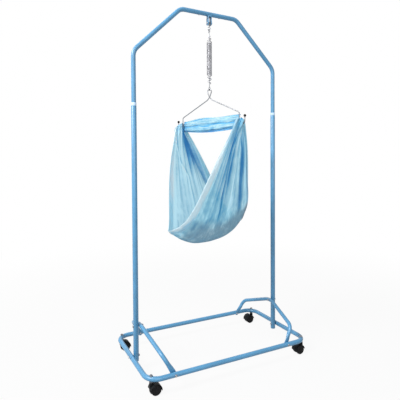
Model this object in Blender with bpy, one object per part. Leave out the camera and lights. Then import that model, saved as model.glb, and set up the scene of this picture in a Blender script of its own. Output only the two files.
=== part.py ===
"""Cradle with stand: a fabric cradle on a sprung hanger, in a wheeled tube frame.

World frame: the origin is on the floor under the middle of the stand, X runs along the
stand's long side, Y runs to the back and Z is up. Every length is in metres.
"""
import math

import bpy
import bmesh
from mathutils import Matrix, Vector

# Clearances
FACE_GAP = 0.0003          # between faces that touch
BORE_GAP = 0.0005          # around a bolt or a pin in its hole
TURN_GAP = 0.0008          # beside a piece that turns
CUT_OVERRUN = 0.003        # how far a cutter passes the faces it cuts

# Casters
WHEEL_RADIUS = 0.0225
WHEEL_WIDTH = 0.014
WHEEL_RECESS = 0.0015
AXLE_RADIUS = 0.003
CASTER_TRAIL = 0.018
HOOD_WEB = 0.009
HOOD_SHELL = 0.002
HOOD_SIDE_LIP = 0.002
BOSS_RADIUS = 0.0085
BOSS_HEIGHT = 0.0125
HOOD_SHOULDER_SHARE = 0.9
STEM_RADIUS = 0.004
STEM_FLANGE = 0.0022
STEM_ABOVE_NUT = 0.002

# Base loop of bent tube
BASE_LENGTH = 0.8575       # between the centres of the side rails
BASE_DEPTH = 0.488         # between the centres of the long rails
RAIL_RADIUS = 0.0111
TUBE_WALL = 0.0012
CORNER_BEND = 0.060
SPIGOT_START = 0.022       # the seam's distance in front of the posts
SPIGOT_REACH = 0.030       # how far the spigot passes behind the posts
SWAGE_TAPER = 0.003

# Posts, collars and the upper frame
POST_RADIUS = 0.0127
POST_DROP = 0.025          # how far a post hangs below the middle of the rail
POST_TOP = 1.2545
COLLAR_HEIGHT = 0.015
COLLAR_WALL = 0.0020
UPPER_RADIUS = 0.0111
UPPER_OVERLAP = 0.070
SHOULDER_HEIGHT = 1.513
TOP_HEIGHT = 1.750
TOP_HALF = 0.161
SHOULDER_BEND = 0.062
TOP_BEND = 0.055
SPLICE_AT = 0.017          # the seam of the top bar, just beside the bracket
SPLICE_HALF = 0.085
SPLICE_WALL = 0.0012
SCREW_AT = 0.058
SCREW_RADIUS = 0.002
SCREW_HEAD_RADIUS = 0.0042
SCREW_HEAD_HEIGHT = 0.0022

# End braces
BRACE_RADIUS = 0.0095
BRACE_FOOT_INSET = 0.12075    # from the middle of the side rail
BRACE_KNEE_INSET = 0.07875
BRACE_KNEE_HEIGHT = 0.141
BRACE_TOP_HEIGHT = 0.211
BRACE_KNEE_BEND = 0.045
BRACE_TOP_BEND = 0.110
FOOT_THICKNESS = 0.004
FOOT_FLAT = 0.024
FOOT_BELOW_BOLT = 0.011
FOOT_WIDENING_SHARE = 1.25

# Bolts and nuts of the frame
BOLT_RADIUS = 0.003
BOLT_HEAD_RADIUS = 0.006
BOLT_HEAD_HEIGHT = 0.0032
BOLT_PAST_NUT = 0.002
NUT_ACROSS = 0.010
NUT_HEIGHT = 0.005
STEM_NUT_ACROSS = 0.013

# Bracket under the top bar
BRACKET_INSIDE = 0.015
BRACKET_PLATE = 0.0025
BRACKET_WEB = 0.003
BRACKET_WIDTH = 0.025
BRACKET_LIP_SHARE = 0.8    # how far the saddle reaches round the bar
PIN_RADIUS = 0.003
PIN_BELOW_BAR = 0.045      # from the middle of the top bar to the pin
PIN_HEAD_RADIUS = 0.0055
PIN_HEAD_HEIGHT = 0.003

# Link, hooks and spring
LINK_WIRE = 0.002          # radius of the wire
LINK_LOOP = 0.007
LINK_SHANK = 0.013
LOOP_LEAVE = math.radians(-35)
LOOP_SWEEP = math.radians(290)
HOOK_WIRE = 0.002
HOOK_LOOP = 0.007
TOP_SHANK = 0.020          # from the upper hook's loop to the spring's neck
LOW_SHANK = 0.020          # from the spring's neck to the lower hook's loop
SPRING_WIRE = 0.0024
SPRING_RADIUS = 0.0116
SPRING_PITCH = 0.0056
SPRING_TURNS = 30
CONE_TURNS = 2
TOP_CONE_HEIGHT = 0.033
BOTTOM_CONE_HEIGHT = 0.043
CONE_NECK_RADIUS = 0.0056
HEAD_THICKNESS = 0.004
HEAD_DEPTH_SHARE = 0.36
NECK_STEP = 0.003

# Hanger: a bent wire with an eye, two arms and two hooks with ball caps
HANGER_TURN = math.radians(-64.7)
HANGER_WIRE = 0.0025
EYE_HALF = 0.0105
EYE_START = math.radians(-20)
EYE_HEIGHT = 0.0385
ARM_HALF = 0.180
ARM_DROP = 0.094
ARM_SHOULDER = 0.014
ARM_SHOULDER_DROP = 0.016
KNEE_BEND = 0.012
HOOK_WIDTH = 0.0314         # across a hook, from its arm to its tip
TIP_DROP = 0.112
HOOK_DROP = 0.153
BALL_RADIUS = 0.0055
BALL_HEIGHT = 0.0135
BALL_SOCKET = 0.008

# Cradle cloth
CLOTH_THICKNESS = 0.003
CLOTH_HALF_WIDTH = 0.3244
CLOTH_DEPTH = 0.5921       # from the hooks down to the bottom of the sling
CLOTH_END_RISE = 0.095     # how much higher the hems hang than the middle
CLOTH_RISE_POWER = 2.54
CLOTH_HANG = 0.137         # the catenary length of the sling
CLOTH_GATHER = 0.0215      # half the cloth's width at the hooks
CLOTH_WIDTH_POWER = 2.02
CLOTH_HEM_DRAW_IN = 0.093  # how far the hems draw in above the seat
CLOTH_SIDE_DRAW_IN = 0.022
CLOTH_TOP_ABOVE_HOOK = 0.024
FOLD_DEPTH = 0.005
FOLD_COUNT = 4
FOLD_AT_HOOK_SHARE = 0.35
BAND_HEIGHT = 0.064
BAND_SAG = 0.013
BAND_FOLD_DEPTH = 0.004
BAND_FOLDS = 2
BAND_EASE = 0.001          # between the band's ends and the sling's folds
BAND_ABOVE_SLING = 0.025
SEAT_SHARE = 0.36
HOOK_EASE = 0.0040         # round the hanger's wire where it passes the cloth

# Facets
TUBE_SIDES = 10
WHEEL_SIDES = 16
BOLT_SIDES = 12
HOLE_SIDES = 8
WIRE_SIDES = 6
HOOK_SIDES = 8
BEND_STEPS = 4
HOOD_STEPS = 9
BALL_STEPS = 6
WIRE_BEND_STEPS = 3
LOOP_STEPS = 10
EYE_STEPS = 8
TURN_POINTS = 8
SLING_ROWS = 7
SLING_COLUMNS = 16
BAND_ROWS = 8
NEARLY_FULL_SHARE = 0.999
DRAW_IN_PEAK = 3 * math.sqrt(3) / 2
MILLIMETRES = 1000

# Heights and places that follow from the sizes above
CASTER_TOP = 0.0582
RAIL_HEIGHT = CASTER_TOP + FACE_GAP + RAIL_RADIUS
RAIL_X = BASE_LENGTH / 2
RAIL_Y = BASE_DEPTH / 2
POST_X = RAIL_X - RAIL_RADIUS - FACE_GAP - POST_RADIUS
BRACE_TOP_X = POST_X - POST_RADIUS - FACE_GAP - BRACE_RADIUS
BRACE_FOOT_X = RAIL_X - BRACE_FOOT_INSET
BRACE_KNEE_X = RAIL_X - BRACE_KNEE_INSET
PIN_HEIGHT = TOP_HEIGHT - PIN_BELOW_BAR
CORNER_INSET = CORNER_BEND * (1 - math.sqrt(0.5))
TIP_HALF = ARM_HALF + HOOK_WIDTH
HOOK_MIDDLE = ARM_HALF + HOOK_WIDTH / 2

AXIS_X = Vector((1, 0, 0))
AXIS_Y = Vector((0, 1, 0))
AXIS_Z = Vector((0, 0, 1))


def clear_scene():
    for item in list(bpy.data.objects):
        bpy.data.objects.remove(item, do_unlink=True)


def make_material(name, colour, roughness, metallic=0.0):
    material = bpy.data.materials.new(name)
    material.use_nodes = True
    shader = material.node_tree.nodes["Principled BSDF"]
    shader.inputs["Base Color"].default_value = (*colour, 1.0)
    shader.inputs["Roughness"].default_value = roughness
    shader.inputs["Metallic"].default_value = metallic
    material.diffuse_color = (*colour, 1.0)
    return material


def add_object(name, mesh, material, parent=None, smooth_angle=40.0):
    """Put a mesh in the scene as a named object, shaded smooth up to an angle."""
    item = bpy.data.objects.new(name, mesh)
    bpy.context.scene.collection.objects.link(item)
    mesh.materials.append(material)
    mesh.shade_smooth()
    mesh.set_sharp_from_angle(angle=math.radians(smooth_angle))
    item.parent = parent
    return item


def add_joint_empty(name, place, parent=None):
    """An empty that marks a joint's place and carries what turns there."""
    empty = bpy.data.objects.new(name, None)
    bpy.context.scene.collection.objects.link(empty)
    empty.location = place
    empty.parent = parent
    return empty


def mesh_from(name, build):
    """Make a mesh by a function that fills a bmesh, with its faces pointing out."""
    mesh = bpy.data.meshes.new(name)
    shape = bmesh.new()
    build(shape)
    bmesh.ops.recalc_face_normals(shape, faces=shape.faces)
    shape.to_mesh(mesh)
    shape.free()
    return mesh


def bridge_rings(shape, first, second):
    """Join two rings of vertices, either of which may be a single point."""
    count = max(len(first), len(second))
    for index in range(count):
        after = (index + 1) % count
        if len(first) == 1:
            shape.faces.new((first[0], second[index], second[after]))
        elif len(second) == 1:
            shape.faces.new((first[index], second[0], first[after]))
        else:
            shape.faces.new((first[index], second[index], second[after], first[after]))


def turn_profile(shape, profile, sides, matrix, closed=False):
    """Turn a profile of (radius, height) pairs round the local Z axis."""
    rings = []
    for radius, height in profile:
        if radius == 0:
            rings.append([shape.verts.new(matrix @ Vector((0, 0, height)))])
            continue
        ring = []
        for step in range(sides):
            angle = math.tau * (step + 0.5) / sides
            point = Vector((radius * math.cos(angle), radius * math.sin(angle), height))
            ring.append(shape.verts.new(matrix @ point))
        rings.append(ring)
    pairs = list(zip(rings, rings[1:]))
    if closed:
        pairs.append((rings[-1], rings[0]))
    for first, second in pairs:
        bridge_rings(shape, first, second)


def turned_mesh(name, profile, sides, matrix=Matrix(), closed=False):
    return mesh_from(name, lambda shape: turn_profile(shape, profile, sides, matrix, closed))


def along(direction, place=Vector()):
    """A matrix that turns local Z to a direction and moves to a place."""
    turn = Vector(direction).to_track_quat("Z", "Y").to_matrix().to_4x4()
    return Matrix.Translation(Vector(place)) @ turn


def rounded_path(corners, bends, steps=BEND_STEPS):
    """A path through corners, with each inner corner bent to its radius."""
    points = [Vector(corners[0])]
    for index in range(1, len(corners) - 1):
        corner = Vector(corners[index])
        back = (Vector(corners[index - 1]) - corner).normalized()
        onward = (Vector(corners[index + 1]) - corner).normalized()
        half = back.angle(onward) / 2
        bend = bends[index - 1]
        middle = corner + (back + onward).normalized() * (bend / math.sin(half))
        start = corner + back * (bend / math.tan(half))
        end = corner + onward * (bend / math.tan(half))
        first = start - middle
        last = end - middle
        sweep = first.angle(last)
        normal = first.cross(last).normalized()
        for step in range(steps + 1):
            turn = Matrix.Rotation(sweep * step / steps, 3, normal)
            points.append(middle + turn @ first)
    points.append(Vector(corners[-1]))
    return points


def path_frames(points, normal):
    """Frames carried along a path without twist, from a first normal."""
    frames = []
    carried = Vector(normal)
    for index, point in enumerate(points):
        before = points[max(index - 1, 0)]
        after = points[min(index + 1, len(points) - 1)]
        ahead = (after - point).normalized() if after != point else Vector()
        behind = (point - before).normalized() if before != point else Vector()
        tangent = (ahead + behind).normalized()
        carried = (carried - tangent * carried.dot(tangent)).normalized()
        frames.append((tangent, carried.copy(), tangent.cross(carried)))
    return frames


def ring_on_path(shape, point, frame, across, up, sides):
    ring = []
    for step in range(sides):
        angle = math.tau * (step + 0.5) / sides
        offset = frame[1] * (across * math.cos(angle)) + frame[2] * (up * math.sin(angle))
        ring.append(shape.verts.new(point + offset))
    return ring


def sweep_tube(shape, points, sizes, sides, normal, wall=0.0):
    """Sweep an oval section along a path; a wall above zero leaves an open bore."""
    frames = path_frames(points, normal)
    outer = []
    inner = []
    for point, frame, (across, up) in zip(points, frames, sizes):
        outer.append(ring_on_path(shape, point, frame, across, up, sides))
        if wall > 0:
            inner.append(ring_on_path(shape, point, frame, across - wall, up - wall, sides))
    for first, second in zip(outer, outer[1:]):
        bridge_rings(shape, first, second)
    if wall > 0:
        for first, second in zip(inner, inner[1:]):
            bridge_rings(shape, second, first)
        bridge_rings(shape, inner[0], outer[0])
        bridge_rings(shape, outer[-1], inner[-1])
    else:
        shape.faces.new(outer[0])
        shape.faces.new(outer[-1])


def tube_mesh(name, points, radius, sides, normal, wall=0.0):
    sizes = [(radius, radius)] * len(points)
    return mesh_from(name, lambda shape: sweep_tube(shape, points, sizes, sides, normal, wall))


def extrude_outline(shape, outline, depth, matrix):
    """Extrude an outline in local XY along local Z, half to each side."""
    bottom = [shape.verts.new(matrix @ Vector((x, y, -depth / 2))) for x, y in outline]
    top = [shape.verts.new(matrix @ Vector((x, y, depth / 2))) for x, y in outline]
    shape.faces.new(bottom)
    shape.faces.new(top)
    bridge_rings(shape, bottom, top)


def outline_mesh(name, outline, depth, matrix=Matrix()):
    return mesh_from(name, lambda shape: extrude_outline(shape, outline, depth, matrix))


def add_tool(name, mesh, parent=None):
    """A helper solid for a Boolean, hidden and drawn as wire."""
    tool = bpy.data.objects.new(name, mesh)
    bpy.context.scene.collection.objects.link(tool)
    tool.hide_render = True
    tool.display_type = "WIRE"
    tool.parent = parent
    return tool


def use_tool(item, tool, operation="DIFFERENCE"):
    modifier = item.modifiers.new(tool.name, "BOOLEAN")
    modifier.operation = operation
    modifier.solver = "EXACT"
    modifier.object = tool


def drill(items, name, place, direction, radius, length):
    """Cut one straight hole, centred on a place, through each of the items."""
    profile = [(0, -length / 2), (radius, -length / 2), (radius, length / 2), (0, length / 2)]
    tool = add_tool(name, turned_mesh(name, profile, HOLE_SIDES, along(direction, place)))
    for item in items:
        use_tool(item, tool)


def arc_outline(radius, start, end, steps, centre=(0.0, 0.0)):
    """Points on an arc from one angle to another, in radians."""
    points = []
    for step in range(steps + 1):
        angle = start + (end - start) * step / steps
        points.append((centre[0] + radius * math.cos(angle), centre[1] + radius * math.sin(angle)))
    return points


def base_half_corners(front):
    """Corners of one U-shaped half of the base loop; both halves end near the posts."""
    if front:
        side, reach = -1, SPIGOT_REACH
    else:
        side, reach = 1, -SPIGOT_START
    return [
        (-RAIL_X, reach, RAIL_HEIGHT),
        (-RAIL_X, side * RAIL_Y, RAIL_HEIGHT),
        (RAIL_X, side * RAIL_Y, RAIL_HEIGHT),
        (RAIL_X, reach, RAIL_HEIGHT),
    ]


def build_base(paint):
    """Two bent tubes; the front one has swaged ends that slide into the rear one."""
    bends = [CORNER_BEND, CORNER_BEND]
    rear_path = rounded_path(base_half_corners(False), bends)
    rear = tube_mesh("base_rail_rear", rear_path, RAIL_RADIUS, TUBE_SIDES, AXIS_Z, TUBE_WALL)

    front_path = rounded_path(base_half_corners(True), bends)
    full = (RAIL_RADIUS, RAIL_RADIUS)
    spigot_radius = RAIL_RADIUS - TUBE_WALL - FACE_GAP
    spigot = (spigot_radius, spigot_radius)
    seam = -SPIGOT_START - FACE_GAP
    left_swage = [Vector((-RAIL_X, y, RAIL_HEIGHT)) for y in (seam, seam - SWAGE_TAPER)]
    right_swage = [Vector((RAIL_X, y, RAIL_HEIGHT)) for y in (seam - SWAGE_TAPER, seam)]
    points = [front_path[0], *left_swage, *front_path[1:-1], *right_swage, front_path[-1]]
    sizes = [spigot, spigot] + [full] * (len(points) - 4) + [spigot, spigot]
    front = mesh_from(
        "base_rail_front",
        lambda shape: sweep_tube(shape, points, sizes, TUBE_SIDES, AXIS_Z, TUBE_WALL),
    )
    return (
        add_object("base_rail_front", front, paint),
        add_object("base_rail_rear", rear, paint),
    )


def build_posts(paint, collar_plastic):
    """Straight lower posts on the inner sides of the side rails, with ring collars."""
    posts = []
    for side, word in ((-1, "left"), (1, "right")):
        foot = (side * POST_X, 0, RAIL_HEIGHT - POST_DROP)
        head = (side * POST_X, 0, POST_TOP)
        name = "post_" + word
        line = [Vector(foot), Vector(head)]
        mesh = tube_mesh(name, line, POST_RADIUS, TUBE_SIDES, AXIS_Y, TUBE_WALL)
        posts.append(add_object(name, mesh, paint))

        bore = UPPER_RADIUS / math.cos(math.pi / TUBE_SIDES) + FACE_GAP
        outer = UPPER_RADIUS + FACE_GAP + COLLAR_WALL
        low = POST_TOP + FACE_GAP
        high = low + COLLAR_HEIGHT
        edge = COLLAR_WALL / 2
        profile = [
            (bore, high), (outer - edge, high), (outer, high - edge),
            (outer, low + edge), (outer - edge, low), (bore, low),
        ]
        name = "collar_" + word
        ring = turned_mesh(name, profile, TUBE_SIDES, Matrix.Translation((side * POST_X, 0, 0)), True)
        add_object(name, ring, collar_plastic)
    return posts


def build_upper_frame(paint, steel):
    """Two bent upper tubes that slide into the posts and meet over an inner sleeve."""
    halves = []
    for side, word in ((-1, "left"), (1, "right")):
        seam = SPLICE_AT - FACE_GAP if side < 0 else SPLICE_AT
        corners = [
            (side * POST_X, 0, POST_TOP - UPPER_OVERLAP),
            (side * POST_X, 0, SHOULDER_HEIGHT),
            (side * TOP_HALF, 0, TOP_HEIGHT),
            (seam, 0, TOP_HEIGHT),
        ]
        name = "upper_tube_" + word
        path = rounded_path(corners, [SHOULDER_BEND, TOP_BEND])
        mesh = tube_mesh(name, path, UPPER_RADIUS, TUBE_SIDES, AXIS_Y, TUBE_WALL)
        halves.append(add_object(name, mesh, paint))

    sleeve_radius = UPPER_RADIUS - TUBE_WALL - FACE_GAP
    ends = [Vector((-SPLICE_HALF, 0, TOP_HEIGHT)), Vector((SPLICE_HALF, 0, TOP_HEIGHT))]
    mesh = tube_mesh("splice_sleeve", ends, sleeve_radius, TUBE_SIDES, AXIS_Y, SPLICE_WALL)
    sleeve = add_object("splice_sleeve", mesh, steel)

    under = TOP_HEIGHT - UPPER_RADIUS - FACE_GAP
    tip = TOP_HEIGHT - sleeve_radius + SPLICE_WALL + SCREW_RADIUS
    profile = [
        (0, under - SCREW_HEAD_HEIGHT),
        (SCREW_HEAD_RADIUS - SCREW_RADIUS / 2, under - SCREW_HEAD_HEIGHT),
        (SCREW_HEAD_RADIUS, under - SCREW_HEAD_HEIGHT / 2),
        (SCREW_HEAD_RADIUS, under),
        (SCREW_RADIUS, under),
        (SCREW_RADIUS, tip),
        (0, tip + SCREW_RADIUS / 2),
    ]
    for side, half in ((-1, halves[0]), (1, halves[1])):
        word = "left" if side < 0 else "right"
        name = "splice_screw_" + word
        place = Matrix.Translation((side * SCREW_AT, 0, 0))
        add_object(name, turned_mesh(name, profile, BOLT_SIDES, place), steel)
        centre = (side * SCREW_AT, 0, TOP_HEIGHT - UPPER_RADIUS)
        drill([half, sleeve], "hole_" + name, centre, AXIS_Z, SCREW_RADIUS + BORE_GAP, UPPER_RADIUS)
    return halves


def brace_path(side):
    """The middle line of an end brace, from its front foot to its rear foot."""
    tube_y = RAIL_Y - RAIL_RADIUS - FACE_GAP - BRACE_RADIUS
    foot_y = RAIL_Y - RAIL_RADIUS - FACE_GAP - FOOT_THICKNESS / 2
    corners = [
        (side * BRACE_FOOT_X, -tube_y, RAIL_HEIGHT),
        (side * BRACE_KNEE_X, -tube_y, BRACE_KNEE_HEIGHT),
        (side * BRACE_TOP_X, 0, BRACE_TOP_HEIGHT),
        (side * BRACE_KNEE_X, tube_y, BRACE_KNEE_HEIGHT),
        (side * BRACE_FOOT_X, tube_y, RAIL_HEIGHT),
    ]
    bends = [BRACE_KNEE_BEND, BRACE_TOP_BEND, BRACE_KNEE_BEND]
    body = rounded_path(corners, bends)
    climb = (Vector(corners[1]) - Vector(corners[0])).normalized()
    feet = []
    for end in (-1, 1):
        bolt = Vector((side * BRACE_FOOT_X, end * foot_y, RAIL_HEIGHT))
        feet.append([bolt - climb * FOOT_BELOW_BOLT, bolt + climb * (FOOT_FLAT - FOOT_BELOW_BOLT)])
    middle = body[1:-1]
    top = max(point.z for point in middle)
    lift = BRACE_TOP_HEIGHT - top
    slide = BRACE_TOP_X - max(abs(point.x) for point in middle)
    for point in middle:
        share = (point.z - RAIL_HEIGHT) / (top - RAIL_HEIGHT)
        point.z += lift * share
        point.x += side * slide * share
    return [*feet[0], *middle, *reversed(feet[1])]


def build_braces(paint):
    """Bent hoops, flat at their feet, bolted to the long rails and to the posts."""
    braces = []
    flat = (FOOT_THICKNESS / 2, BRACE_RADIUS * FOOT_WIDENING_SHARE)
    full = (BRACE_RADIUS, BRACE_RADIUS)
    for side, word in ((-1, "left"), (1, "right")):
        points = brace_path(side)
        sizes = [flat, flat] + [full] * (len(points) - 4) + [flat, flat]
        name = "brace_" + word
        mesh = mesh_from(
            name,
            lambda shape: sweep_tube(shape, points, sizes, TUBE_SIDES, AXIS_Y),
        )
        braces.append(add_object(name, mesh, paint))
    return braces


def hex_ring(shape, matrix, across, level):
    """A six-sided ring on twelve points, so that it meets a round ring."""
    ring = []
    for step in range(BOLT_SIDES):
        angle = math.tau * (step + 0.5) / BOLT_SIDES
        radius = across / 2 if step % 2 else across / math.sqrt(3)
        point = Vector((radius * math.cos(angle), radius * math.sin(angle), level))
        ring.append(shape.verts.new(matrix @ point))
    return ring


def round_ring(shape, matrix, radius, level):
    ring = []
    for step in range(BOLT_SIDES):
        angle = math.tau * (step + 0.5) / BOLT_SIDES
        point = Vector((radius * math.cos(angle), radius * math.sin(angle), level))
        ring.append(shape.verts.new(matrix @ point))
    return ring


def add_nut(shape, place, direction, across, height, bore):
    """A loose six-sided nut with a round bore."""
    matrix = along(direction, place)
    rings = [
        hex_ring(shape, matrix, across, 0),
        hex_ring(shape, matrix, across, height),
        round_ring(shape, matrix, bore, height),
        round_ring(shape, matrix, bore, 0),
    ]
    for first, second in zip(rings, rings[1:] + rings[:1]):
        bridge_rings(shape, first, second)


def add_bolt(shape, head, nut):
    """A domed bolt from the seat of its head to its cap nut, tight on its thread."""
    matrix = along(nut - head, head)
    grip = (nut - head).length
    rings = [
        [shape.verts.new(matrix @ Vector((0, 0, -BOLT_HEAD_HEIGHT)))],
        round_ring(shape, matrix, BOLT_HEAD_RADIUS / 2, -BOLT_HEAD_HEIGHT),
        round_ring(shape, matrix, BOLT_HEAD_RADIUS, -BOLT_HEAD_HEIGHT / 3),
        round_ring(shape, matrix, BOLT_HEAD_RADIUS, 0),
        round_ring(shape, matrix, BOLT_RADIUS, 0),
        round_ring(shape, matrix, BOLT_RADIUS, grip),
        hex_ring(shape, matrix, NUT_ACROSS, grip),
        hex_ring(shape, matrix, NUT_ACROSS, grip + NUT_HEIGHT),
        [shape.verts.new(matrix @ Vector((0, 0, grip + NUT_HEIGHT)))],
    ]
    for first, second in zip(rings, rings[1:]):
        bridge_rings(shape, first, second)


def build_frame_bolts(steel, rails, posts, braces):
    """Bolts through rail and post, post and brace, and rail and brace foot."""
    post_inside = POST_X - POST_RADIUS - FACE_GAP
    foot_outside = RAIL_Y + RAIL_RADIUS + FACE_GAP
    foot_inside = RAIL_Y - RAIL_RADIUS - FACE_GAP - FOOT_THICKNESS - FACE_GAP
    seats = []
    for side, word in ((-1, "left"), (1, "right")):
        post = posts[0 if side < 0 else 1]
        brace = braces[0 if side < 0 else 1]
        head = Vector((side * (RAIL_X + RAIL_RADIUS + FACE_GAP), 0, RAIL_HEIGHT))
        nut = Vector((side * post_inside, 0, RAIL_HEIGHT))
        seats.append(("rail_bolt_" + word, head, nut, [*rails, post]))

        head = Vector((side * (POST_X + POST_RADIUS + FACE_GAP), 0, BRACE_TOP_HEIGHT))
        nut = Vector((side * (BRACE_TOP_X - BRACE_RADIUS - FACE_GAP), 0, BRACE_TOP_HEIGHT))
        seats.append(("brace_top_bolt_" + word, head, nut, [post, brace]))

        for end, end_word in ((-1, "front"), (1, "rear")):
            head = Vector((side * BRACE_FOOT_X, end * foot_outside, RAIL_HEIGHT))
            nut = Vector((side * BRACE_FOOT_X, end * foot_inside, RAIL_HEIGHT))
            rail = rails[0 if end < 0 else 1]
            name = "brace_foot_bolt_" + end_word + "_" + word
            seats.append((name, head, nut, [rail, brace]))

    for name, head, nut, pieces in seats:
        mesh = mesh_from(name, lambda shape: add_bolt(shape, head, nut))
        add_object(name, mesh, steel)
        length = (nut - head).length + 2 * CUT_OVERRUN
        drill(pieces, "hole_" + name, (head + nut) / 2, nut - head, BOLT_RADIUS + BORE_GAP, length)


def caster_places():
    """Each caster's name, stem axis and trailing direction along X, at the corner bends."""
    places = []
    for end, end_word in ((-1, "front"), (1, "rear")):
        for side, word in ((-1, "left"), (1, "right")):
            spot = (side * (RAIL_X - CORNER_INSET), end * (RAIL_Y - CORNER_INSET))
            places.append((end_word + "_" + word, spot[0], spot[1], -side))
    return places


def hood_outline(trail_side):
    """The web between the wheels: round over the wheels, with a shoulder under the boss."""
    cover = WHEEL_RADIUS / math.cos(math.pi / WHEEL_SIDES) + TURN_GAP + HOOD_SHELL
    axle_x = trail_side * CASTER_TRAIL
    shoulder = CASTER_TOP - STEM_FLANGE - FACE_GAP - BOSS_HEIGHT
    rear = arc_outline(cover, math.radians(200), math.radians(75), BEND_STEPS, (0, WHEEL_RADIUS))
    front = arc_outline(cover, math.radians(5), math.radians(-40), 2, (0, WHEEL_RADIUS))
    outline = [(axle_x - trail_side * x, z) for x, z in rear]
    outline.append((trail_side * BOSS_RADIUS / 2, shoulder + HOOD_SHELL))
    outline.append((-trail_side * BOSS_RADIUS * HOOD_SHOULDER_SHARE, shoulder + HOOD_SHELL))
    outline.extend((axle_x - trail_side * x, z) for x, z in front)
    return outline


def build_caster(word, x, y, trail_side, materials):
    """One twin-wheel caster: stem, hood that swivels on it, axle and two wheels."""
    plastic, wheel_plastic, steel = materials
    swivel = add_joint_empty("swivel_" + word, (x, y, 0))
    axle_x = trail_side * CASTER_TRAIL
    boss_top = CASTER_TOP - STEM_FLANGE - FACE_GAP
    boss_low = boss_top - BOSS_HEIGHT
    socket = STEM_RADIUS + BORE_GAP
    socket_depth = BOSS_HEIGHT - HOOD_SHELL

    nut_low = RAIL_HEIGHT + RAIL_RADIUS + FACE_GAP
    tip = nut_low + NUT_HEIGHT + STEM_ABOVE_NUT
    stem_profile = [
        (0, boss_top - socket_depth + FACE_GAP),
        (STEM_RADIUS, boss_top - socket_depth + FACE_GAP),
        (STEM_RADIUS, CASTER_TOP - STEM_FLANGE),
        (BOSS_RADIUS, CASTER_TOP - STEM_FLANGE),
        (BOSS_RADIUS, CASTER_TOP),
        (STEM_RADIUS, CASTER_TOP),
        (STEM_RADIUS, tip),
        (0, tip),
    ]
    name = "caster_stem_" + word
    place = Matrix.Translation((x, y, 0))
    add_object(name, turned_mesh(name, stem_profile, BOLT_SIDES, place), steel)

    upright = Matrix.Rotation(math.radians(90), 4, "X")
    name = "caster_hood_" + word
    hood = add_object(name, outline_mesh(name, hood_outline(trail_side), HOOD_WEB, upright), plastic)
    hood.parent = swivel

    inner = WHEEL_RADIUS / math.cos(math.pi / WHEEL_SIDES) + TURN_GAP
    start, end = math.radians(8), math.radians(188)
    band = arc_outline(inner + HOOD_SHELL, start, end, HOOD_STEPS, (0, WHEEL_RADIUS))
    band += reversed(arc_outline(inner, start, end, HOOD_STEPS, (0, WHEEL_RADIUS)))
    band = [(axle_x - trail_side * px, pz) for px, pz in band]
    width = HOOD_WEB + 2 * (TURN_GAP + WHEEL_WIDTH + HOOD_SIDE_LIP)
    name = "cover_of_" + word
    cover = add_tool(name, outline_mesh(name, band, width, upright), swivel)
    boss_profile = [
        (0, boss_low), (BOSS_RADIUS, boss_low), (BOSS_RADIUS, boss_top),
        (socket, boss_top), (socket, boss_top - socket_depth), (0, boss_top - socket_depth),
    ]
    name = "boss_of_" + word
    boss = add_tool(name, turned_mesh(name, boss_profile, BOLT_SIDES), swivel)
    use_tool(hood, cover, "UNION")
    use_tool(hood, boss, "UNION")
    hole_length = HOOD_WEB + 2 * CUT_OVERRUN
    hole = [
        (0, -hole_length / 2), (AXLE_RADIUS + BORE_GAP, -hole_length / 2),
        (AXLE_RADIUS + BORE_GAP, hole_length / 2), (0, hole_length / 2),
    ]
    name = "axle_hole_" + word
    across = along(AXIS_Y, (axle_x, 0, WHEEL_RADIUS))
    use_tool(hood, add_tool(name, turned_mesh(name, hole, BOLT_SIDES, across), swivel))

    bore_depth = WHEEL_WIDTH - 2 * WHEEL_RECESS
    inside = HOOD_WEB / 2 + TURN_GAP
    half = inside + bore_depth - FACE_GAP
    name = "caster_axle_" + word
    shaft = [(0, -half), (AXLE_RADIUS, -half), (AXLE_RADIUS, half), (0, half)]
    axle = add_object(name, turned_mesh(name, shaft, BOLT_SIDES, along(AXIS_Y)), steel)
    axle.location = (axle_x, 0, WHEEL_RADIUS)
    axle.parent = swivel

    rim = WHEEL_RADIUS / math.cos(math.pi / WHEEL_SIDES)
    outside = inside + WHEEL_WIDTH
    wheel_profile = [
        (0, inside + bore_depth),
        (AXLE_RADIUS + BORE_GAP, inside + bore_depth),
        (AXLE_RADIUS + BORE_GAP, inside),
        (rim, inside),
        (rim, outside - WHEEL_RECESS),
        (rim - WHEEL_RECESS, outside),
        (0, outside),
    ]
    for facing, letter in ((-1, "a"), (1, "b")):
        name = "caster_wheel_" + word + "_" + letter
        matrix = along(AXIS_Y * facing)
        wheel = add_object(name, turned_mesh(name, wheel_profile, WHEEL_SIDES, matrix), wheel_plastic)
        wheel.location = (axle_x, 0, WHEEL_RADIUS)
        wheel.parent = swivel


def build_casters(materials, rails):
    """The four casters at the corner bends, each with a nut on top of the rail."""
    steel = materials[2]
    for word, x, y, trail_side in caster_places():
        build_caster(word, x, y, trail_side, materials)
        place = (x, y, RAIL_HEIGHT + RAIL_RADIUS + FACE_GAP)
        name = "stem_nut_" + word
        nut = mesh_from(
            name,
            lambda shape: add_nut(
                shape, place, AXIS_Z, STEM_NUT_ACROSS, NUT_HEIGHT, STEM_RADIUS + BORE_GAP
            ),
        )
        add_object(name, nut, steel)
        rail = rails[0 if y < 0 else 1]
        centre = (x, y, RAIL_HEIGHT)
        length = 2 * (RAIL_RADIUS + CUT_OVERRUN)
        drill([rail], "stem_hole_" + word, centre, AXIS_Z, STEM_RADIUS + BORE_GAP, length)


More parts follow.
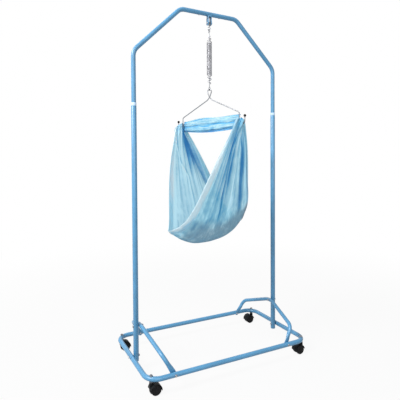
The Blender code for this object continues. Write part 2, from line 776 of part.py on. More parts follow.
def build_bracket(paint, steel):
    """A clevis under the top bar, its saddle against the bar, with a pin across it."""
    saddle = UPPER_RADIUS + FACE_GAP
    half = BRACKET_WIDTH / 2
    drop = PIN_HEIGHT - TOP_HEIGHT
    lip = math.acos(min(half * BRACKET_LIP_SHARE / saddle, 1.0))
    outline = arc_outline(saddle, -lip, lip - math.pi, BEND_STEPS)
    outline += arc_outline(half, math.pi, math.tau, BEND_STEPS, (0, drop))
    facing = Matrix.Translation((0, 0, TOP_HEIGHT)) @ Matrix(
        ((0, 0, 1, 0), (1, 0, 0, 0), (0, 1, 0, 0), (0, 0, 0, 1))
    )
    width = BRACKET_INSIDE + 2 * BRACKET_PLATE
    mesh = outline_mesh("hanger_bracket", outline, width, facing)
    bracket = add_object("hanger_bracket", mesh, paint)

    web_low = TOP_HEIGHT - saddle - BRACKET_WEB
    slot_low = PIN_HEIGHT - half - CUT_OVERRUN
    side = half + CUT_OVERRUN
    slot = [(-side, slot_low), (side, slot_low), (side, web_low), (-side, web_low)]
    slot = [(y, z - TOP_HEIGHT) for y, z in slot]
    slot_mesh = outline_mesh("bracket_slot", slot, BRACKET_INSIDE, facing)
    use_tool(bracket, add_tool("bracket_slot", slot_mesh))
    centre = (0, 0, PIN_HEIGHT)
    length = width + 2 * CUT_OVERRUN
    drill([bracket], "pin_hole", centre, AXIS_X, PIN_RADIUS + BORE_GAP, length)

    outside = width / 2 + FACE_GAP
    profile = [
        (0, -outside - PIN_HEAD_HEIGHT),
        (PIN_HEAD_RADIUS / 2, -outside - PIN_HEAD_HEIGHT),
        (PIN_HEAD_RADIUS, -outside - PIN_HEAD_HEIGHT / 3),
        (PIN_HEAD_RADIUS, -outside),
        (PIN_RADIUS, -outside),
        (PIN_RADIUS, outside + NUT_HEIGHT + BOLT_PAST_NUT),
        (0, outside + NUT_HEIGHT + BOLT_PAST_NUT),
    ]
    across = along(AXIS_X, (0, 0, PIN_HEIGHT))
    add_object("bracket_pin", turned_mesh("bracket_pin", profile, BOLT_SIDES, across), steel)
    nut = mesh_from(
        "bracket_pin_nut",
        lambda shape: add_nut(
            shape, (outside, 0, PIN_HEIGHT), AXIS_X, NUT_ACROSS, NUT_HEIGHT, PIN_RADIUS + BORE_GAP
        ),
    )
    add_object("bracket_pin_nut", nut, steel)


def loop_points(centre_z, radius, across, flip):
    """An open wire loop round a height on the axis, from its tip to where it leaves.

    The loop stands in the plane of Z and the across direction. It leaves down and
    inwards, or up and inwards when flipped.
    """
    points = []
    for step in range(LOOP_STEPS + 1):
        angle = LOOP_LEAVE + LOOP_SWEEP * (1 - step / LOOP_STEPS)
        side = Vector(across) * (radius * math.cos(angle))
        rise = radius * math.sin(angle) * (-1 if flip else 1)
        points.append(side + Vector((0, 0, centre_z + rise)))
    return points


def hook_points(centre_z, radius, across, flip, shank_end, bend):
    """A wire loop that runs on into a straight shank on the axis."""
    loop = loop_points(centre_z, radius, across, flip)
    meet = radius / abs(math.sin(LOOP_LEAVE))
    meet_z = centre_z + (meet if flip else -meet)
    run_in = rounded_path([loop[-1], (0, 0, meet_z), (0, 0, shank_end)], [bend], WIRE_BEND_STEPS)
    return loop[:-1] + run_in


def chain_heights():
    """The heights of the loops and the spring, from the pin down to the hanger's eye."""
    link_top = PIN_HEIGHT + PIN_RADIUS + FACE_GAP - (LINK_LOOP - LINK_WIRE)
    link_low = link_top - 2 * LINK_LOOP - LINK_SHANK
    swing = link_low - LINK_LOOP + LINK_WIRE + FACE_GAP + HOOK_WIRE
    hook_top = swing - HOOK_LOOP
    body_top = hook_top - HOOK_LOOP - TOP_SHANK - TOP_CONE_HEIGHT
    body_low = body_top - SPRING_TURNS * SPRING_PITCH
    neck_low = body_low - BOTTOM_CONE_HEIGHT
    hook_low = neck_low - LOW_SHANK - HOOK_LOOP
    tilt = hook_low - HOOK_LOOP
    eye_top = tilt + HOOK_WIRE + FACE_GAP + HANGER_WIRE
    crossing = eye_top - EYE_HEIGHT
    hanger_low = crossing - HOOK_DROP
    return {
        "link_top": link_top, "link_low": link_low, "swing": swing, "hook_top": hook_top,
        "body_top": body_top, "body_low": body_low, "hook_low": hook_low, "tilt": tilt,
        "eye_top": eye_top, "crossing": crossing, "hanger_low": hanger_low,
        "cloth_top": hanger_low + CLOTH_TOP_ABOVE_HOOK,
        "cloth_low": hanger_low - CLOTH_DEPTH + CLOTH_THICKNESS / 2,
    }


def spring_points(levels):
    """The middle line of the coil: a cone, the body and a cone, with straight ends."""
    total = SPRING_TURNS + 2 * CONE_TURNS
    count = total * TURN_POINTS
    points = []
    for step in range(count + 1):
        turn = step / TURN_POINTS
        if turn < CONE_TURNS:
            share = 1 - turn / CONE_TURNS
            height = levels["body_top"] + TOP_CONE_HEIGHT * share
        elif turn > CONE_TURNS + SPRING_TURNS:
            share = (turn - CONE_TURNS - SPRING_TURNS) / CONE_TURNS
            height = levels["body_low"] - BOTTOM_CONE_HEIGHT * share
        else:
            share = 0.0
            height = levels["body_top"] - SPRING_PITCH * (turn - CONE_TURNS)
        radius = SPRING_RADIUS + (CONE_NECK_RADIUS - SPRING_RADIUS) * share
        angle = math.tau * turn
        points.append(Vector((radius * math.cos(angle), radius * math.sin(angle), height)))
    first_run = (points[0] - points[1]).normalized() * (2 * SPRING_WIRE)
    last_run = (points[-1] - points[-2]).normalized() * (2 * SPRING_WIRE)
    return [points[0] + first_run, *points, points[-1] + last_run]


def least_gap(points, radius, apart):
    """The least space between parts of a tube that are at least so many points apart."""
    least = math.inf
    for index, point in enumerate(points):
        for other in range(index + apart, len(points) - 1):
            start, end = points[other], points[other + 1]
            run = end - start
            share = min(max((point - start).dot(run) / run.length_squared, 0.0), 1.0)
            least = min(least, (point - (start + run * share)).length)
    return least - 2 * radius


def build_suspension(steel, spring_steel):
    """The link on the pin, the upper hook, the spring and the lower hook."""
    levels = chain_heights()
    upper = loop_points(levels["link_top"], LINK_LOOP, AXIS_Y, False)
    lower = loop_points(levels["link_low"], LINK_LOOP, AXIS_X, True)
    path = upper + list(reversed(lower))
    mesh = tube_mesh("pin_link", path, LINK_WIRE, WIRE_SIDES, AXIS_X)
    link_axis = add_joint_empty("link_axis", (0, 0, PIN_HEIGHT))
    add_on_axis("pin_link", mesh, steel, link_axis)

    head_radius = SPRING_RADIUS - (SPRING_RADIUS - CONE_NECK_RADIUS) * HEAD_DEPTH_SHARE
    head_radius -= SPRING_WIRE + BORE_GAP
    swing_axis = add_joint_empty("swing_axis", (0, 0, levels["swing"] - PIN_HEIGHT), link_axis)
    head = levels["body_top"] + TOP_CONE_HEIGHT * HEAD_DEPTH_SHARE
    mesh = hook_mesh("spring_top_hook", levels["hook_top"], AXIS_Y, False, head, head_radius)
    add_on_axis("spring_top_hook", mesh, steel, swing_axis)

    points = spring_points(levels)
    gap = least_gap(points, SPRING_WIRE, TURN_POINTS // 2)
    print("spring: least gap of the coil to itself, mm:", round(gap * MILLIMETRES, 3))
    curve = bpy.data.curves.new("spring", "CURVE")
    curve.dimensions = "3D"
    curve.bevel_depth = SPRING_WIRE
    curve.bevel_resolution = 1
    curve.use_fill_caps = True
    spline = curve.splines.new("POLY")
    spline.points.add(len(points) - 1)
    for spot, point in zip(spline.points, points):
        spot.co = (*point, 1.0)
    curve.materials.append(spring_steel)
    spring = bpy.data.objects.new("spring", curve)
    bpy.context.scene.collection.objects.link(spring)

    bounce_axis = add_joint_empty("bounce_axis", (0, 0, levels["body_low"]))
    head = levels["body_low"] - BOTTOM_CONE_HEIGHT * HEAD_DEPTH_SHARE
    across = Matrix.Rotation(HANGER_TURN, 3, "Z") @ AXIS_Y
    mesh = hook_mesh("spring_low_hook", levels["hook_low"], across, True, head, head_radius)
    add_on_axis("spring_low_hook", mesh, steel, bounce_axis)
    return levels


def add_on_axis(name, mesh, material, empty):
    """Place a mesh made in world places under an empty on its joint's axis."""
    centre = Vector(empty.location)
    above = empty.parent
    while above:
        centre += above.location
        above = above.parent
    mesh.transform(Matrix.Translation(-centre))
    return add_object(name, mesh, material, empty)


def hook_mesh(name, centre_z, across, flip, head_z, head_radius):
    """A wire hook whose shank ends in a round head that the spring's cone holds."""
    away = 1 if flip else -1
    path = hook_points(centre_z, HOOK_LOOP, across, flip, head_z - away * NECK_STEP, HOOK_LOOP)
    path += [Vector((0, 0, head_z)), Vector((0, 0, head_z + away * HEAD_THICKNESS))]
    wire = (HOOK_WIRE, HOOK_WIRE)
    head = (head_radius, head_radius)
    sizes = [wire] * (len(path) - 2) + [head, head]
    side = AXIS_Z.cross(across)
    return mesh_from(name, lambda shape: sweep_tube(shape, path, sizes, HOOK_SIDES, side))


def hanger_frame():
    return Matrix.Rotation(HANGER_TURN, 4, "Z")


def hanger_points(levels):
    """The hanger's wire in its own plane: a hook, an arm, the eye, an arm and a hook."""
    crossing = levels["crossing"]
    bottom = levels["hanger_low"]
    knee = crossing - ARM_DROP
    hook_bend = HOOK_WIDTH / 2 * NEARLY_FULL_SHARE
    corners = [
        (TIP_HALF, 0, crossing - TIP_DROP),
        (TIP_HALF, 0, bottom),
        (ARM_HALF, 0, bottom),
        (ARM_HALF, 0, knee),
        (ARM_SHOULDER, 0, crossing - ARM_SHOULDER_DROP),
        (0, 0, crossing),
    ]
    right = rounded_path(corners, [hook_bend, hook_bend, KNEE_BEND, KNEE_BEND], WIRE_BEND_STEPS)[:-1]
    left = [Vector((-point.x, 0, point.z)) for point in right]
    eye_centre = levels["eye_top"] - EYE_HALF
    offset = HANGER_WIRE + BORE_GAP / 2
    eye = []
    for step in range(EYE_STEPS + 1):
        share = step / EYE_STEPS
        angle = EYE_START + (math.pi - 2 * EYE_START) * share
        x = EYE_HALF * math.cos(angle)
        z = eye_centre + EYE_HALF * math.sin(angle)
        eye.append(Vector((x, offset * (1 - 2 * share), z)))
    before = Vector((0, offset, crossing))
    after = Vector((0, -offset, crossing))
    return [*left, before, *eye, after, *reversed(right)]


def build_hanger(levels, steel, black):
    tilt_axis = add_joint_empty("tilt_axis", (0, 0, levels["tilt"]))
    points = [hanger_frame() @ point for point in hanger_points(levels)]
    side = hanger_frame() @ AXIS_Y
    mesh = tube_mesh("hanger_wire", points, HANGER_WIRE, WIRE_SIDES, side)
    add_on_axis("hanger_wire", mesh, steel, tilt_axis)

    tip = levels["crossing"] - TIP_DROP
    low = tip - BALL_SOCKET
    bore = HANGER_WIRE + FACE_GAP
    profile = [(0, tip + FACE_GAP), (bore, tip + FACE_GAP), (bore, low)]
    for step in range(1, BALL_STEPS):
        turn = math.pi * (step / BALL_STEPS - 1 / 2)
        height = low + BALL_HEIGHT / 2 * (1 + math.sin(turn))
        profile.append((BALL_RADIUS * max(math.cos(turn), (bore + FACE_GAP) / BALL_RADIUS), height))
    profile.append((0, low + BALL_HEIGHT))
    for side_sign, word in ((-1, "left"), (1, "right")):
        name = "ball_cap_" + word
        place = hanger_frame() @ Matrix.Translation((side_sign * TIP_HALF, 0, 0))
        add_on_axis(name, turned_mesh(name, profile, BOLT_SIDES, place), black, tilt_axis)
    return tilt_axis


def fold_depth(share):
    """The depth of the folds, shallower where the cloth is gathered at the hooks."""
    return FOLD_DEPTH * (1 - (1 - FOLD_AT_HOOK_SHARE) * share ** 4)


def sling_inside(levels, height):
    """Half the clear width between the sling's sides, at a height in its middle."""
    rise = levels["cloth_top"] - levels["cloth_low"]
    share = min((height - levels["cloth_low"]) / rise, 1.0)
    full = math.acosh(1 + rise / CLOTH_HANG)
    bend = math.acosh(1 + rise * share / CLOTH_HANG)
    half = HOOK_MIDDLE * bend / full - CLOTH_SIDE_DRAW_IN * drawn_in(share)
    return half - fold_depth(share) - CLOTH_THICKNESS / 2


def drawn_in(share):
    """How much of the draw-in shows at a share of the height: none at either end."""
    return math.sqrt(share) * (1 - share) * DRAW_IN_PEAK


def half_width(share):
    """Half the sling's width, from the seat at 0 to the gathers at the hooks at 1."""
    width = CLOTH_HALF_WIDTH + (CLOTH_GATHER - CLOTH_HALF_WIDTH) * share ** CLOTH_WIDTH_POWER
    return width - CLOTH_HEM_DRAW_IN * drawn_in(share)


def sling_point(levels, reach, across, depth):
    """A point of the sling in world places.

    Reach runs from -1 at the left hook over 0 at the bottom to 1 at the right hook,
    across from -1 at the front hem to 1 at the back hem, and depth is the distance
    out from the sling's middle surface.
    """
    low = levels["cloth_low"] + CLOTH_END_RISE * abs(across) ** CLOTH_RISE_POWER
    rise = levels["cloth_top"] - low
    full = math.acosh(1 + rise / CLOTH_HANG)
    bend = math.asinh(reach * math.sinh(full))
    height = CLOTH_HANG * (math.cosh(bend) - 1)
    share = height / rise
    slope_u = HOOK_MIDDLE / full
    slope_z = CLOTH_HANG * math.sinh(bend)
    size = math.hypot(slope_u, slope_z)
    faded = min(max((abs(reach) - SEAT_SHARE) / SEAT_SHARE, 0.0), 1.0)
    depth += fold_depth(share) * faded * math.sin(math.pi * FOLD_COUNT * across)
    u = HOOK_MIDDLE * bend / full - math.copysign(CLOTH_SIDE_DRAW_IN * drawn_in(share), reach)
    u += depth * slope_z / size
    z = low + height - depth * slope_u / size
    return hanger_frame() @ Vector((u, across * half_width(share), z))


def sheet_grid(shape, point_at, rows, columns):
    """A closed thin sheet from a function of row share, column share and face side."""
    faces = []
    for side in (-1, 1):
        grid = []
        for row in range(rows + 1):
            line = [shape.verts.new(point_at(row / rows, column / columns, side))
                    for column in range(columns + 1)]
            grid.append(line)
        faces.append(grid)
    for grid in faces:
        for row in range(rows):
            for column in range(columns):
                shape.faces.new((
                    grid[row][column], grid[row][column + 1],
                    grid[row + 1][column + 1], grid[row + 1][column],
                ))
    inner, outer = faces
    for row in range(rows):
        for column in (0, columns):
            shape.faces.new((
                inner[row][column], inner[row + 1][column],
                outer[row + 1][column], outer[row][column],
            ))
    for column in range(columns):
        for row in (0, rows):
            shape.faces.new((
                inner[row][column], inner[row][column + 1],
                outer[row][column + 1], outer[row][column],
            ))


def sling_mesh(name, levels, start, end):
    """The stretch of the sling from one reach to another."""
    def point_at(row, column, side):
        reach = start + (end - start) * row
        across = 2 * column - 1
        return sling_point(levels, reach, across, side * CLOTH_THICKNESS / 2)

    return mesh_from(name, lambda shape: sheet_grid(shape, point_at, SLING_ROWS, SLING_COLUMNS))


def band_mesh(levels):
    """The gathered band between the hooks, on edge behind the hanger's wire."""
    top = levels["cloth_top"] + BAND_ABOVE_SLING
    behind = HANGER_WIRE + FACE_GAP + BAND_FOLD_DEPTH + CLOTH_THICKNESS / 2

    def point_at(row, column, side):
        middle = 1 - (2 * row - 1) ** 2
        z = top - column * (BAND_HEIGHT + BAND_SAG * middle)
        half = sling_inside(levels, z) - BAND_EASE
        u = half * (2 * row - 1)
        fold = BAND_FOLD_DEPTH * math.cos(math.tau * BAND_FOLDS * column)
        n = behind + fold + side * CLOTH_THICKNESS / 2
        return hanger_frame() @ Vector((u, n, z))

    columns = BAND_FOLDS * 4
    return mesh_from("cloth_top_band", lambda shape: sheet_grid(shape, point_at, BAND_ROWS, columns))


def build_cloth(levels, cloth, tilt_axis):
    """The sling of one cloth tube: two gathered sides, a seat and the band above."""
    step = FACE_GAP / (2 * CLOTH_DEPTH)
    seat = SEAT_SHARE
    pieces = (
        ("cloth_left_side", -1, -seat - step),
        ("cloth_seat", -seat + step, seat - step),
        ("cloth_right_side", seat + step, 1),
    )
    for name, start, end in pieces:
        mesh = sling_mesh(name, levels, start, end)
        item = add_on_axis(name, mesh, cloth, tilt_axis)
        if name != "cloth_seat":
            side = -1 if "left" in name else 1
            pierced = levels["hanger_low"] + HANGER_WIRE
            centre = hanger_frame() @ Vector((side * HOOK_MIDDLE, 0, pierced))
            direction = hanger_frame() @ AXIS_X
            radius = HANGER_WIRE + HOOK_EASE
            drill([item], "hook_hole_" + name, centre, direction, radius, HOOK_WIDTH)
    add_on_axis("cloth_top_band", band_mesh(levels), cloth, tilt_axis)


def main():
    clear_scene()
    paint = make_material("sky_blue_paint", (0.127, 0.376, 0.679), 0.3)
    steel = make_material("plated_steel", (0.55, 0.56, 0.58), 0.3, 1.0)
    spring_steel = make_material("spring_chrome", (0.62, 0.62, 0.64), 0.2, 1.0)
    black = make_material("black_plastic", (0.02, 0.02, 0.022), 0.45)
    wheel_plastic = make_material("wheel_plastic", (0.03, 0.03, 0.032), 0.5)
    collar_plastic = make_material("pale_collar_plastic", (0.78, 0.86, 0.95), 0.4)
    cloth = make_material("sky_blue_gauze", (0.30, 0.60, 0.83), 0.9)

    rails = build_base(paint)
    posts = build_posts(paint, collar_plastic)
    build_upper_frame(paint, steel)
    braces = build_braces(paint)
    build_frame_bolts(steel, rails, posts, braces)
    build_casters((black, wheel_plastic, steel), rails)
    build_bracket(paint, steel)
    levels = build_suspension(steel, spring_steel)
    tilt_axis = build_hanger(levels, steel, black)
    build_cloth(levels, cloth, tilt_axis)


main()
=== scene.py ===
"""Cradle with stand: dresses the CAD frame with smooth tube, hardware, spring and cloth.

The frame is in metres. The origin is on the floor under the middle of the stand, X runs
along its long side, Y runs to the back and Z is up.
"""
import math

import bmesh
import bpy
from bpy.props import FloatProperty, FloatVectorProperty, IntProperty, PointerProperty
from mathutils import Matrix, Vector, noise


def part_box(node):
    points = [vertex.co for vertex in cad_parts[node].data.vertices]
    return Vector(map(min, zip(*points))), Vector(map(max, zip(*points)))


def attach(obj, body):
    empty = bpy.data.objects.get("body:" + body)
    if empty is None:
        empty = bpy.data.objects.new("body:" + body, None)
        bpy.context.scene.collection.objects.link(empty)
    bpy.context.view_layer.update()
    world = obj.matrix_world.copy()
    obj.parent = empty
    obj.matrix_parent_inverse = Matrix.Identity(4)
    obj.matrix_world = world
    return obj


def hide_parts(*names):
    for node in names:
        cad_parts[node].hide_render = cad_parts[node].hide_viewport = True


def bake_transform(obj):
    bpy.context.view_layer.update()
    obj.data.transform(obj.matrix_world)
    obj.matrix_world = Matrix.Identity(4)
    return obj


bl_info = {
    "name": "Cradle with Stand",
    "version": (1, 0, 0),
    "blender": (4, 5, 0),
    "location": "3D View > Sidebar > Cradle",
    "description": "Sling cradle on a sprung hanger, in a wheeled stand of bent tube",
    "category": "Object",
}

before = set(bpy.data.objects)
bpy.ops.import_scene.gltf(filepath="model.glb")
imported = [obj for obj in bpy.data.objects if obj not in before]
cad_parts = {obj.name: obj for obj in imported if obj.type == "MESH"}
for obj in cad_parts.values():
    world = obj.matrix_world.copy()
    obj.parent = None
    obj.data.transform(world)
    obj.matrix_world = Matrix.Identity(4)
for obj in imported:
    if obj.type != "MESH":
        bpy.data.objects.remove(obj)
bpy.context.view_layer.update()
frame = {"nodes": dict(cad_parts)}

AXIS_X = Vector((1, 0, 0))
AXIS_Y = Vector((0, 1, 0))
AXIS_Z = Vector((0, 0, 1))
SIDES = ((-1, "left"), (1, "right"))
CORNERS = [
    (side, end, end_word + "_" + word)
    for end, end_word in ((-1, "front"), (1, "rear")) for side, word in SIDES]


def low(node):
    """The lowest corner of a frame node at rest."""
    return Vector(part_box(node)[0])


def high(node):
    """The highest corner of a frame node at rest."""
    return Vector(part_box(node)[1])


def middle(node):
    """The middle of a frame node's box at rest."""
    return (low(node) + high(node)) / 2


# Places and sizes that the frame gives
RAIL_HEIGHT = middle("rail_bolt_left").z
RAIL_UNDERSIDE = low("base_rail_front").z
BRACE_TOP_HEIGHT = middle("brace_top_bolt_left").z
BRACE_FOOT_X = middle("brace_foot_bolt_front_right").x
POST_X = middle("post_right").x
POST_TOP = high("post_right").z
POST_FOOT = low("post_right").z
COLLAR_LOW = low("collar_right").z
COLLAR_TOP = high("collar_right").z
AXLE_HEIGHT = middle("caster_axle_front_left").z
WHEEL_FLOOR = low("caster_wheel_front_left_a").z
STEM_X = middle("caster_stem_front_right").x
STEM_Y = middle("caster_stem_rear_right").y
AXLE_X = middle("caster_axle_front_right").x
PIN_HEIGHT = middle("bracket_pin").z
EYE_TOP = high("hanger_wire").z
LINK_TOP = high("pin_link").z
LINK_LOW = low("pin_link").z
TOP_HOOK_TOP = high("spring_top_hook").z
TOP_HOOK_LOW = low("spring_top_hook").z
LOW_HOOK_TOP = high("spring_low_hook").z
LOW_HOOK_LOW = low("spring_low_hook").z
BASE_INSIDE = high("brace_right").y
CLOTH_BOTTOM = low("cloth_seat").z
CLOTH_TOP = high("cloth_left_side").z
BAND_TOP = high("cloth_top_band").z

# Sizes of the frame's pieces that their boxes don't show
GAP = 0.0003
TUBE_SIDES = 28
TURNED_SIDES = 32
FOOT_THICKNESS = 0.004
FOOT_BELOW_BOLT = 0.011
FOOT_ABOVE_BOLT = 0.013
FOOT_WIDENING_SHARE = 1.25
FOOT_TIP_SHARES = ((0.0, 0.45), (0.10, 0.75), (0.28, 0.95), (0.5, 1.0), (1.0, 1.0))
FOOT_SWELL_SHARES = (0.15, 0.4, 0.65, 0.88)
BRACE_KNEE_X = 0.350
BRACE_KNEE_HEIGHT = 0.141
BRACE_KNEE_BEND = 0.045
BRACE_TOP_BEND = 0.110
SWAGE_START = 0.022
SWAGE_TAPER = 0.003


def length_property(name, description, default):
    """A size that the sidebar shows in the scene's units."""
    return FloatProperty(name=name, description=description, default=default, unit="LENGTH")


def colour_property(name, description, default):
    """A colour that the sidebar shows as a swatch."""
    return FloatVectorProperty(
        name=name, description=description, default=default,
        subtype="COLOR", size=3, min=0.0, max=1.0)


def angle_property(name, description, default):
    """An angle that the sidebar shows in degrees."""
    return FloatProperty(
        name=name, description=description, default=default, subtype="ANGLE", unit="ROTATION")


class StandSettings(bpy.types.PropertyGroup):
    """Sizes and colours of the tube frame and its fasteners."""

    rail_radius: length_property("Rail radius", "Outer radius of the base loop's tube", 0.0111)
    post_radius: length_property("Post radius", "Outer radius of the lower posts", 0.0127)
    upper_radius: length_property(
        "Upper tube radius", "Outer radius of the bent upper tubes", 0.0111)
    brace_radius: length_property("Brace radius", "Outer radius of the end braces", 0.0095)
    wall: length_property("Tube wall", "Wall thickness of the tubes", 0.0012)
    corner_bend: length_property("Corner bend", "Bend radius at the corners of the base", 0.060)
    shoulder_bend: length_property(
        "Shoulder bend", "Bend radius where the uprights lean in", 0.062)
    top_bend: length_property("Top bend", "Bend radius at the ends of the top bar", 0.055)
    shoulder_height: length_property("Shoulder height", "Height where the uprights lean in", 1.513)
    top_height: length_property("Top bar height", "Height of the middle of the top bar", 1.750)
    top_half: length_property("Half top bar", "From the middle to the bend of the top bar", 0.161)
    seam: length_property("Top seam", "Where the two upper tubes meet, from the middle", 0.017)
    paint: colour_property("Paint", "Colour of the painted tube", (0.068, 0.232, 0.405))
    collar: colour_property("Collar", "Colour of the plastic collars", (0.50, 0.66, 0.84))
    plating: colour_property("Plating", "Colour of bolts, hooks and wire", (0.27, 0.28, 0.30))


class CasterSettings(bpy.types.PropertyGroup):
    """Sizes and colours of the twin-wheel casters."""

    wheel_width: length_property("Wheel width", "Width of one wheel", 0.014)
    web: length_property("Web", "Thickness of the hood between the wheels", 0.009)
    hood_shell: length_property("Hood shell", "Thickness of the hood over the wheels", 0.002)
    running_gap: length_property("Running gap", "Space between a wheel and the hood", 0.0008)
    plastic: colour_property("Plastic", "Colour of hoods and ball caps", (0.007, 0.008, 0.009))
    tyre: colour_property("Tyre", "Colour of the wheels", (0.010, 0.010, 0.011))


class SpringSettings(bpy.types.PropertyGroup):
    """Sizes of the link, the hooks, the spring and the hanger."""

    hook_wire: length_property("Hook wire", "Radius of the hooks' and the link's wire", 0.002)
    hook_loop: length_property("Hook loop", "Radius of the hooks' and the link's loops", 0.007)
    coil_wire: length_property("Spring wire", "Radius of the spring's wire", 0.0024)
    coil_radius: length_property("Coil radius", "Radius of the coil's middle line", 0.0116)
    turns: IntProperty(
        name="Turns", description="Full turns between the spring's cones", default=30)
    cone_turns: IntProperty(
        name="Cone turns", description="Turns in each cone of the spring", default=2)
    top_cone: length_property("Top cone", "Height of the spring's upper cone", 0.033)
    bottom_cone: length_property("Bottom cone", "Height of the spring's lower cone", 0.043)
    neck: length_property("Neck", "Radius of the cones at their tips", 0.0056)
    hanger_wire: length_property("Hanger wire", "Radius of the hanger's wire", 0.0025)
    hanger_turn: angle_property(
        "Hanger turn", "How the hanger stands round the vertical", math.radians(-64.7))
    chrome: colour_property("Spring colour", "Colour of the spring's wire", (0.40, 0.40, 0.42))


class ClothSettings(bpy.types.PropertyGroup):
    """Sizes and colours of the cradle's gauze."""

    half_width: length_property("Half width", "From the middle of the seat to its hem", 0.3244)
    gather: length_property("Gather", "Half the cloth's width where the hooks gather it", 0.0215)
    hang: length_property("Hang", "Catenary length of the empty sling", 0.137)
    end_rise: length_property("End rise", "How much higher the hems hang than the middle", 0.095)
    hem_draw_in: length_property("Hem draw-in", "How far the hems draw in above the seat", 0.093)
    side_draw_in: length_property(
        "Side draw-in", "How far the sides draw in above the seat", 0.022)
    fold_depth: length_property("Fold depth", "Depth of the main folds", 0.005)
    pleat_depth: length_property(
        "Pleat depth", "Depth of the gathers between the main folds", 0.0032)
    hem: length_property("Hem", "Width of the turned hem", 0.030)
    pale: colour_property(
        "Pale gauze", "Colour of the gauze where light falls on it", (0.68, 0.87, 0.94))
    colour: colour_property("Gauze", "Colour of the gauze", (0.26, 0.55, 0.71))
    # Painted shade: the gauze's tone in its creases.
    strong: colour_property(
        "Strong gauze", "Colour of the gauze in its creases", (0.050, 0.35, 0.64))
    # Painted shade: the deepest tone, in the creases and where the gauze lies in many layers.
    deep: colour_property(
        "Deep gauze", "Colour where the gauze lies in many layers", (0.003, 0.195, 0.52))


class StageSettings(bpy.types.PropertyGroup):
    """The camera of the studio."""

    place: FloatVectorProperty(
        name="Camera", description="Where the camera stands", subtype="TRANSLATION",
        unit="LENGTH", size=3, default=(-0.95578, -1.76195, 0.96290))
    yaw: angle_property("Yaw", "Turn of the view from +Y towards +X", 0.471357)
    pitch: angle_property("Pitch", "Tilt of the view above the level", -0.024190)
    roll: angle_property("Roll", "Turn of the camera round its view", -0.005738)
    focal_share: FloatProperty(
        name="Focal share", description="Focal length as a share of the image's width",
        default=0.965314)
    principal_share: FloatProperty(
        name="Shift", description="Vertical shift as a share of the image's width",
        default=-0.057345)


class Value:
    """A number or colour socket of a material; arithmetic on it adds Math nodes."""

    def __init__(self, finish, socket):
        self.finish = finish
        self.socket = socket

    def apply(self, operation, first, second):
        """A Math node on two values."""
        return self.finish.node("ShaderNodeMath", {"operation": operation}, {0: first, 1: second})

    def __add__(self, other):
        return self.apply("ADD", self, other)

    __radd__ = __add__

    def __sub__(self, other):
        return self.apply("SUBTRACT", self, other)

    def __rsub__(self, other):
        return self.apply("SUBTRACT", other, self)

    def __mul__(self, other):
        return self.apply("MULTIPLY", self, other)

    __rmul__ = __mul__


class Finish:
    """A node material, with one way to add a node."""

    def __init__(self, name, colour):
        self.material = bpy.data.materials.new(name)
        self.material.use_nodes = True
        self.material.diffuse_color = (*colour, 1.0)
        self.tree = self.material.node_tree
        self.shader = self.tree.nodes["Principled BSDF"]
        self.place = self.node("ShaderNodeTexCoord", output="Object")

    def node(self, kind, settings=None, inputs=None, output=0):
        """Add a node: its settings first, then the values or links of its sockets."""
        item = self.tree.nodes.new(kind)
        for key, value in (settings or {}).items():
            if key == "stops":
                self.set_stops(item.color_ramp, value)
            else:
                setattr(item, key, value)
        for key, value in (inputs or {}).items():
            self.feed(item.inputs[key], value)
        return Value(self, item.outputs[output])

    def set_stops(self, ramp, stops):
        """Give a colour ramp its stops, each a place and a colour."""
        while len(ramp.elements) > len(stops):
            ramp.elements.remove(ramp.elements[-1])
        while len(ramp.elements) < len(stops):
            ramp.elements.new(1.0)
        for element, (spot, colour) in zip(ramp.elements, stops):
            element.position = spot
            element.color = (*colour, 1.0)

    def feed(self, socket, value):
        """Link a socket to a value, or set it to a number or colour."""
        if isinstance(value, Value):
            self.tree.links.new(value.socket, socket)
        elif socket.type == "RGBA" and len(value) == 3:
            socket.default_value = (*value, 1.0)
        else:
            socket.default_value = value

    def set(self, **sockets):
        """Feed the shader's sockets; a name's underscores stand for spaces."""
        for key, value in sockets.items():
            self.feed(self.shader.inputs[key.replace("_", " ")], value)
        return self

    def noise(self, scale, detail=2.0, stretch=None):
        """Noise from 0 to 1 in the object's own metres, stretched along an axis if asked."""
        place = self.place
        if stretch:
            place = self.node("ShaderNodeMapping", {}, {"Vector": place, "Scale": stretch})
        return self.node(
            "ShaderNodeTexNoise", {}, {"Vector": place, "Scale": scale, "Detail": detail}, "Fac")

    def window(self, value, start, end):
        """A value's climb from start to end, as 0 to 1."""
        return self.node(
            "ShaderNodeMapRange", {"interpolation_type": "SMOOTHSTEP"},
            {"Value": value, "From Min": start, "From Max": end}, "Result")

    def blend(self, share, first, second):
        """A mix of two colours."""
        return self.node(
            "ShaderNodeMix", {"data_type": "RGBA"},
            {0: share, 6: first, 7: second}, 2)

    def bump(self, height, distance):
        """A normal that follows a height from 0 to 1, which stands for the distance."""
        return self.node("ShaderNodeBump", {}, {"Height": height, "Distance": distance})

    def overlay(self, share, shader):
        """Show another shader over the surface by a share of it."""
        mixed = self.node(
            "ShaderNodeMixShader", {},
            {0: share, 1: Value(self, self.shader.outputs["BSDF"]), 2: shader})
        output = self.tree.nodes["Material Output"]
        self.tree.links.new(mixed.socket, output.inputs["Surface"])


def limited(value, least, most):
    """A value kept between two limits."""
    return min(max(value, least), most)


def smooth(value, start, end):
    """A smooth climb from 0 at start to 1 at end."""
    share = limited((value - start) / (end - start), 0.0, 1.0)
    return share * share * (3 - 2 * share)


def tint(colour, factor):
    """A colour made lighter or darker by a factor."""
    return tuple(min(channel * factor, 1.0) for channel in colour)


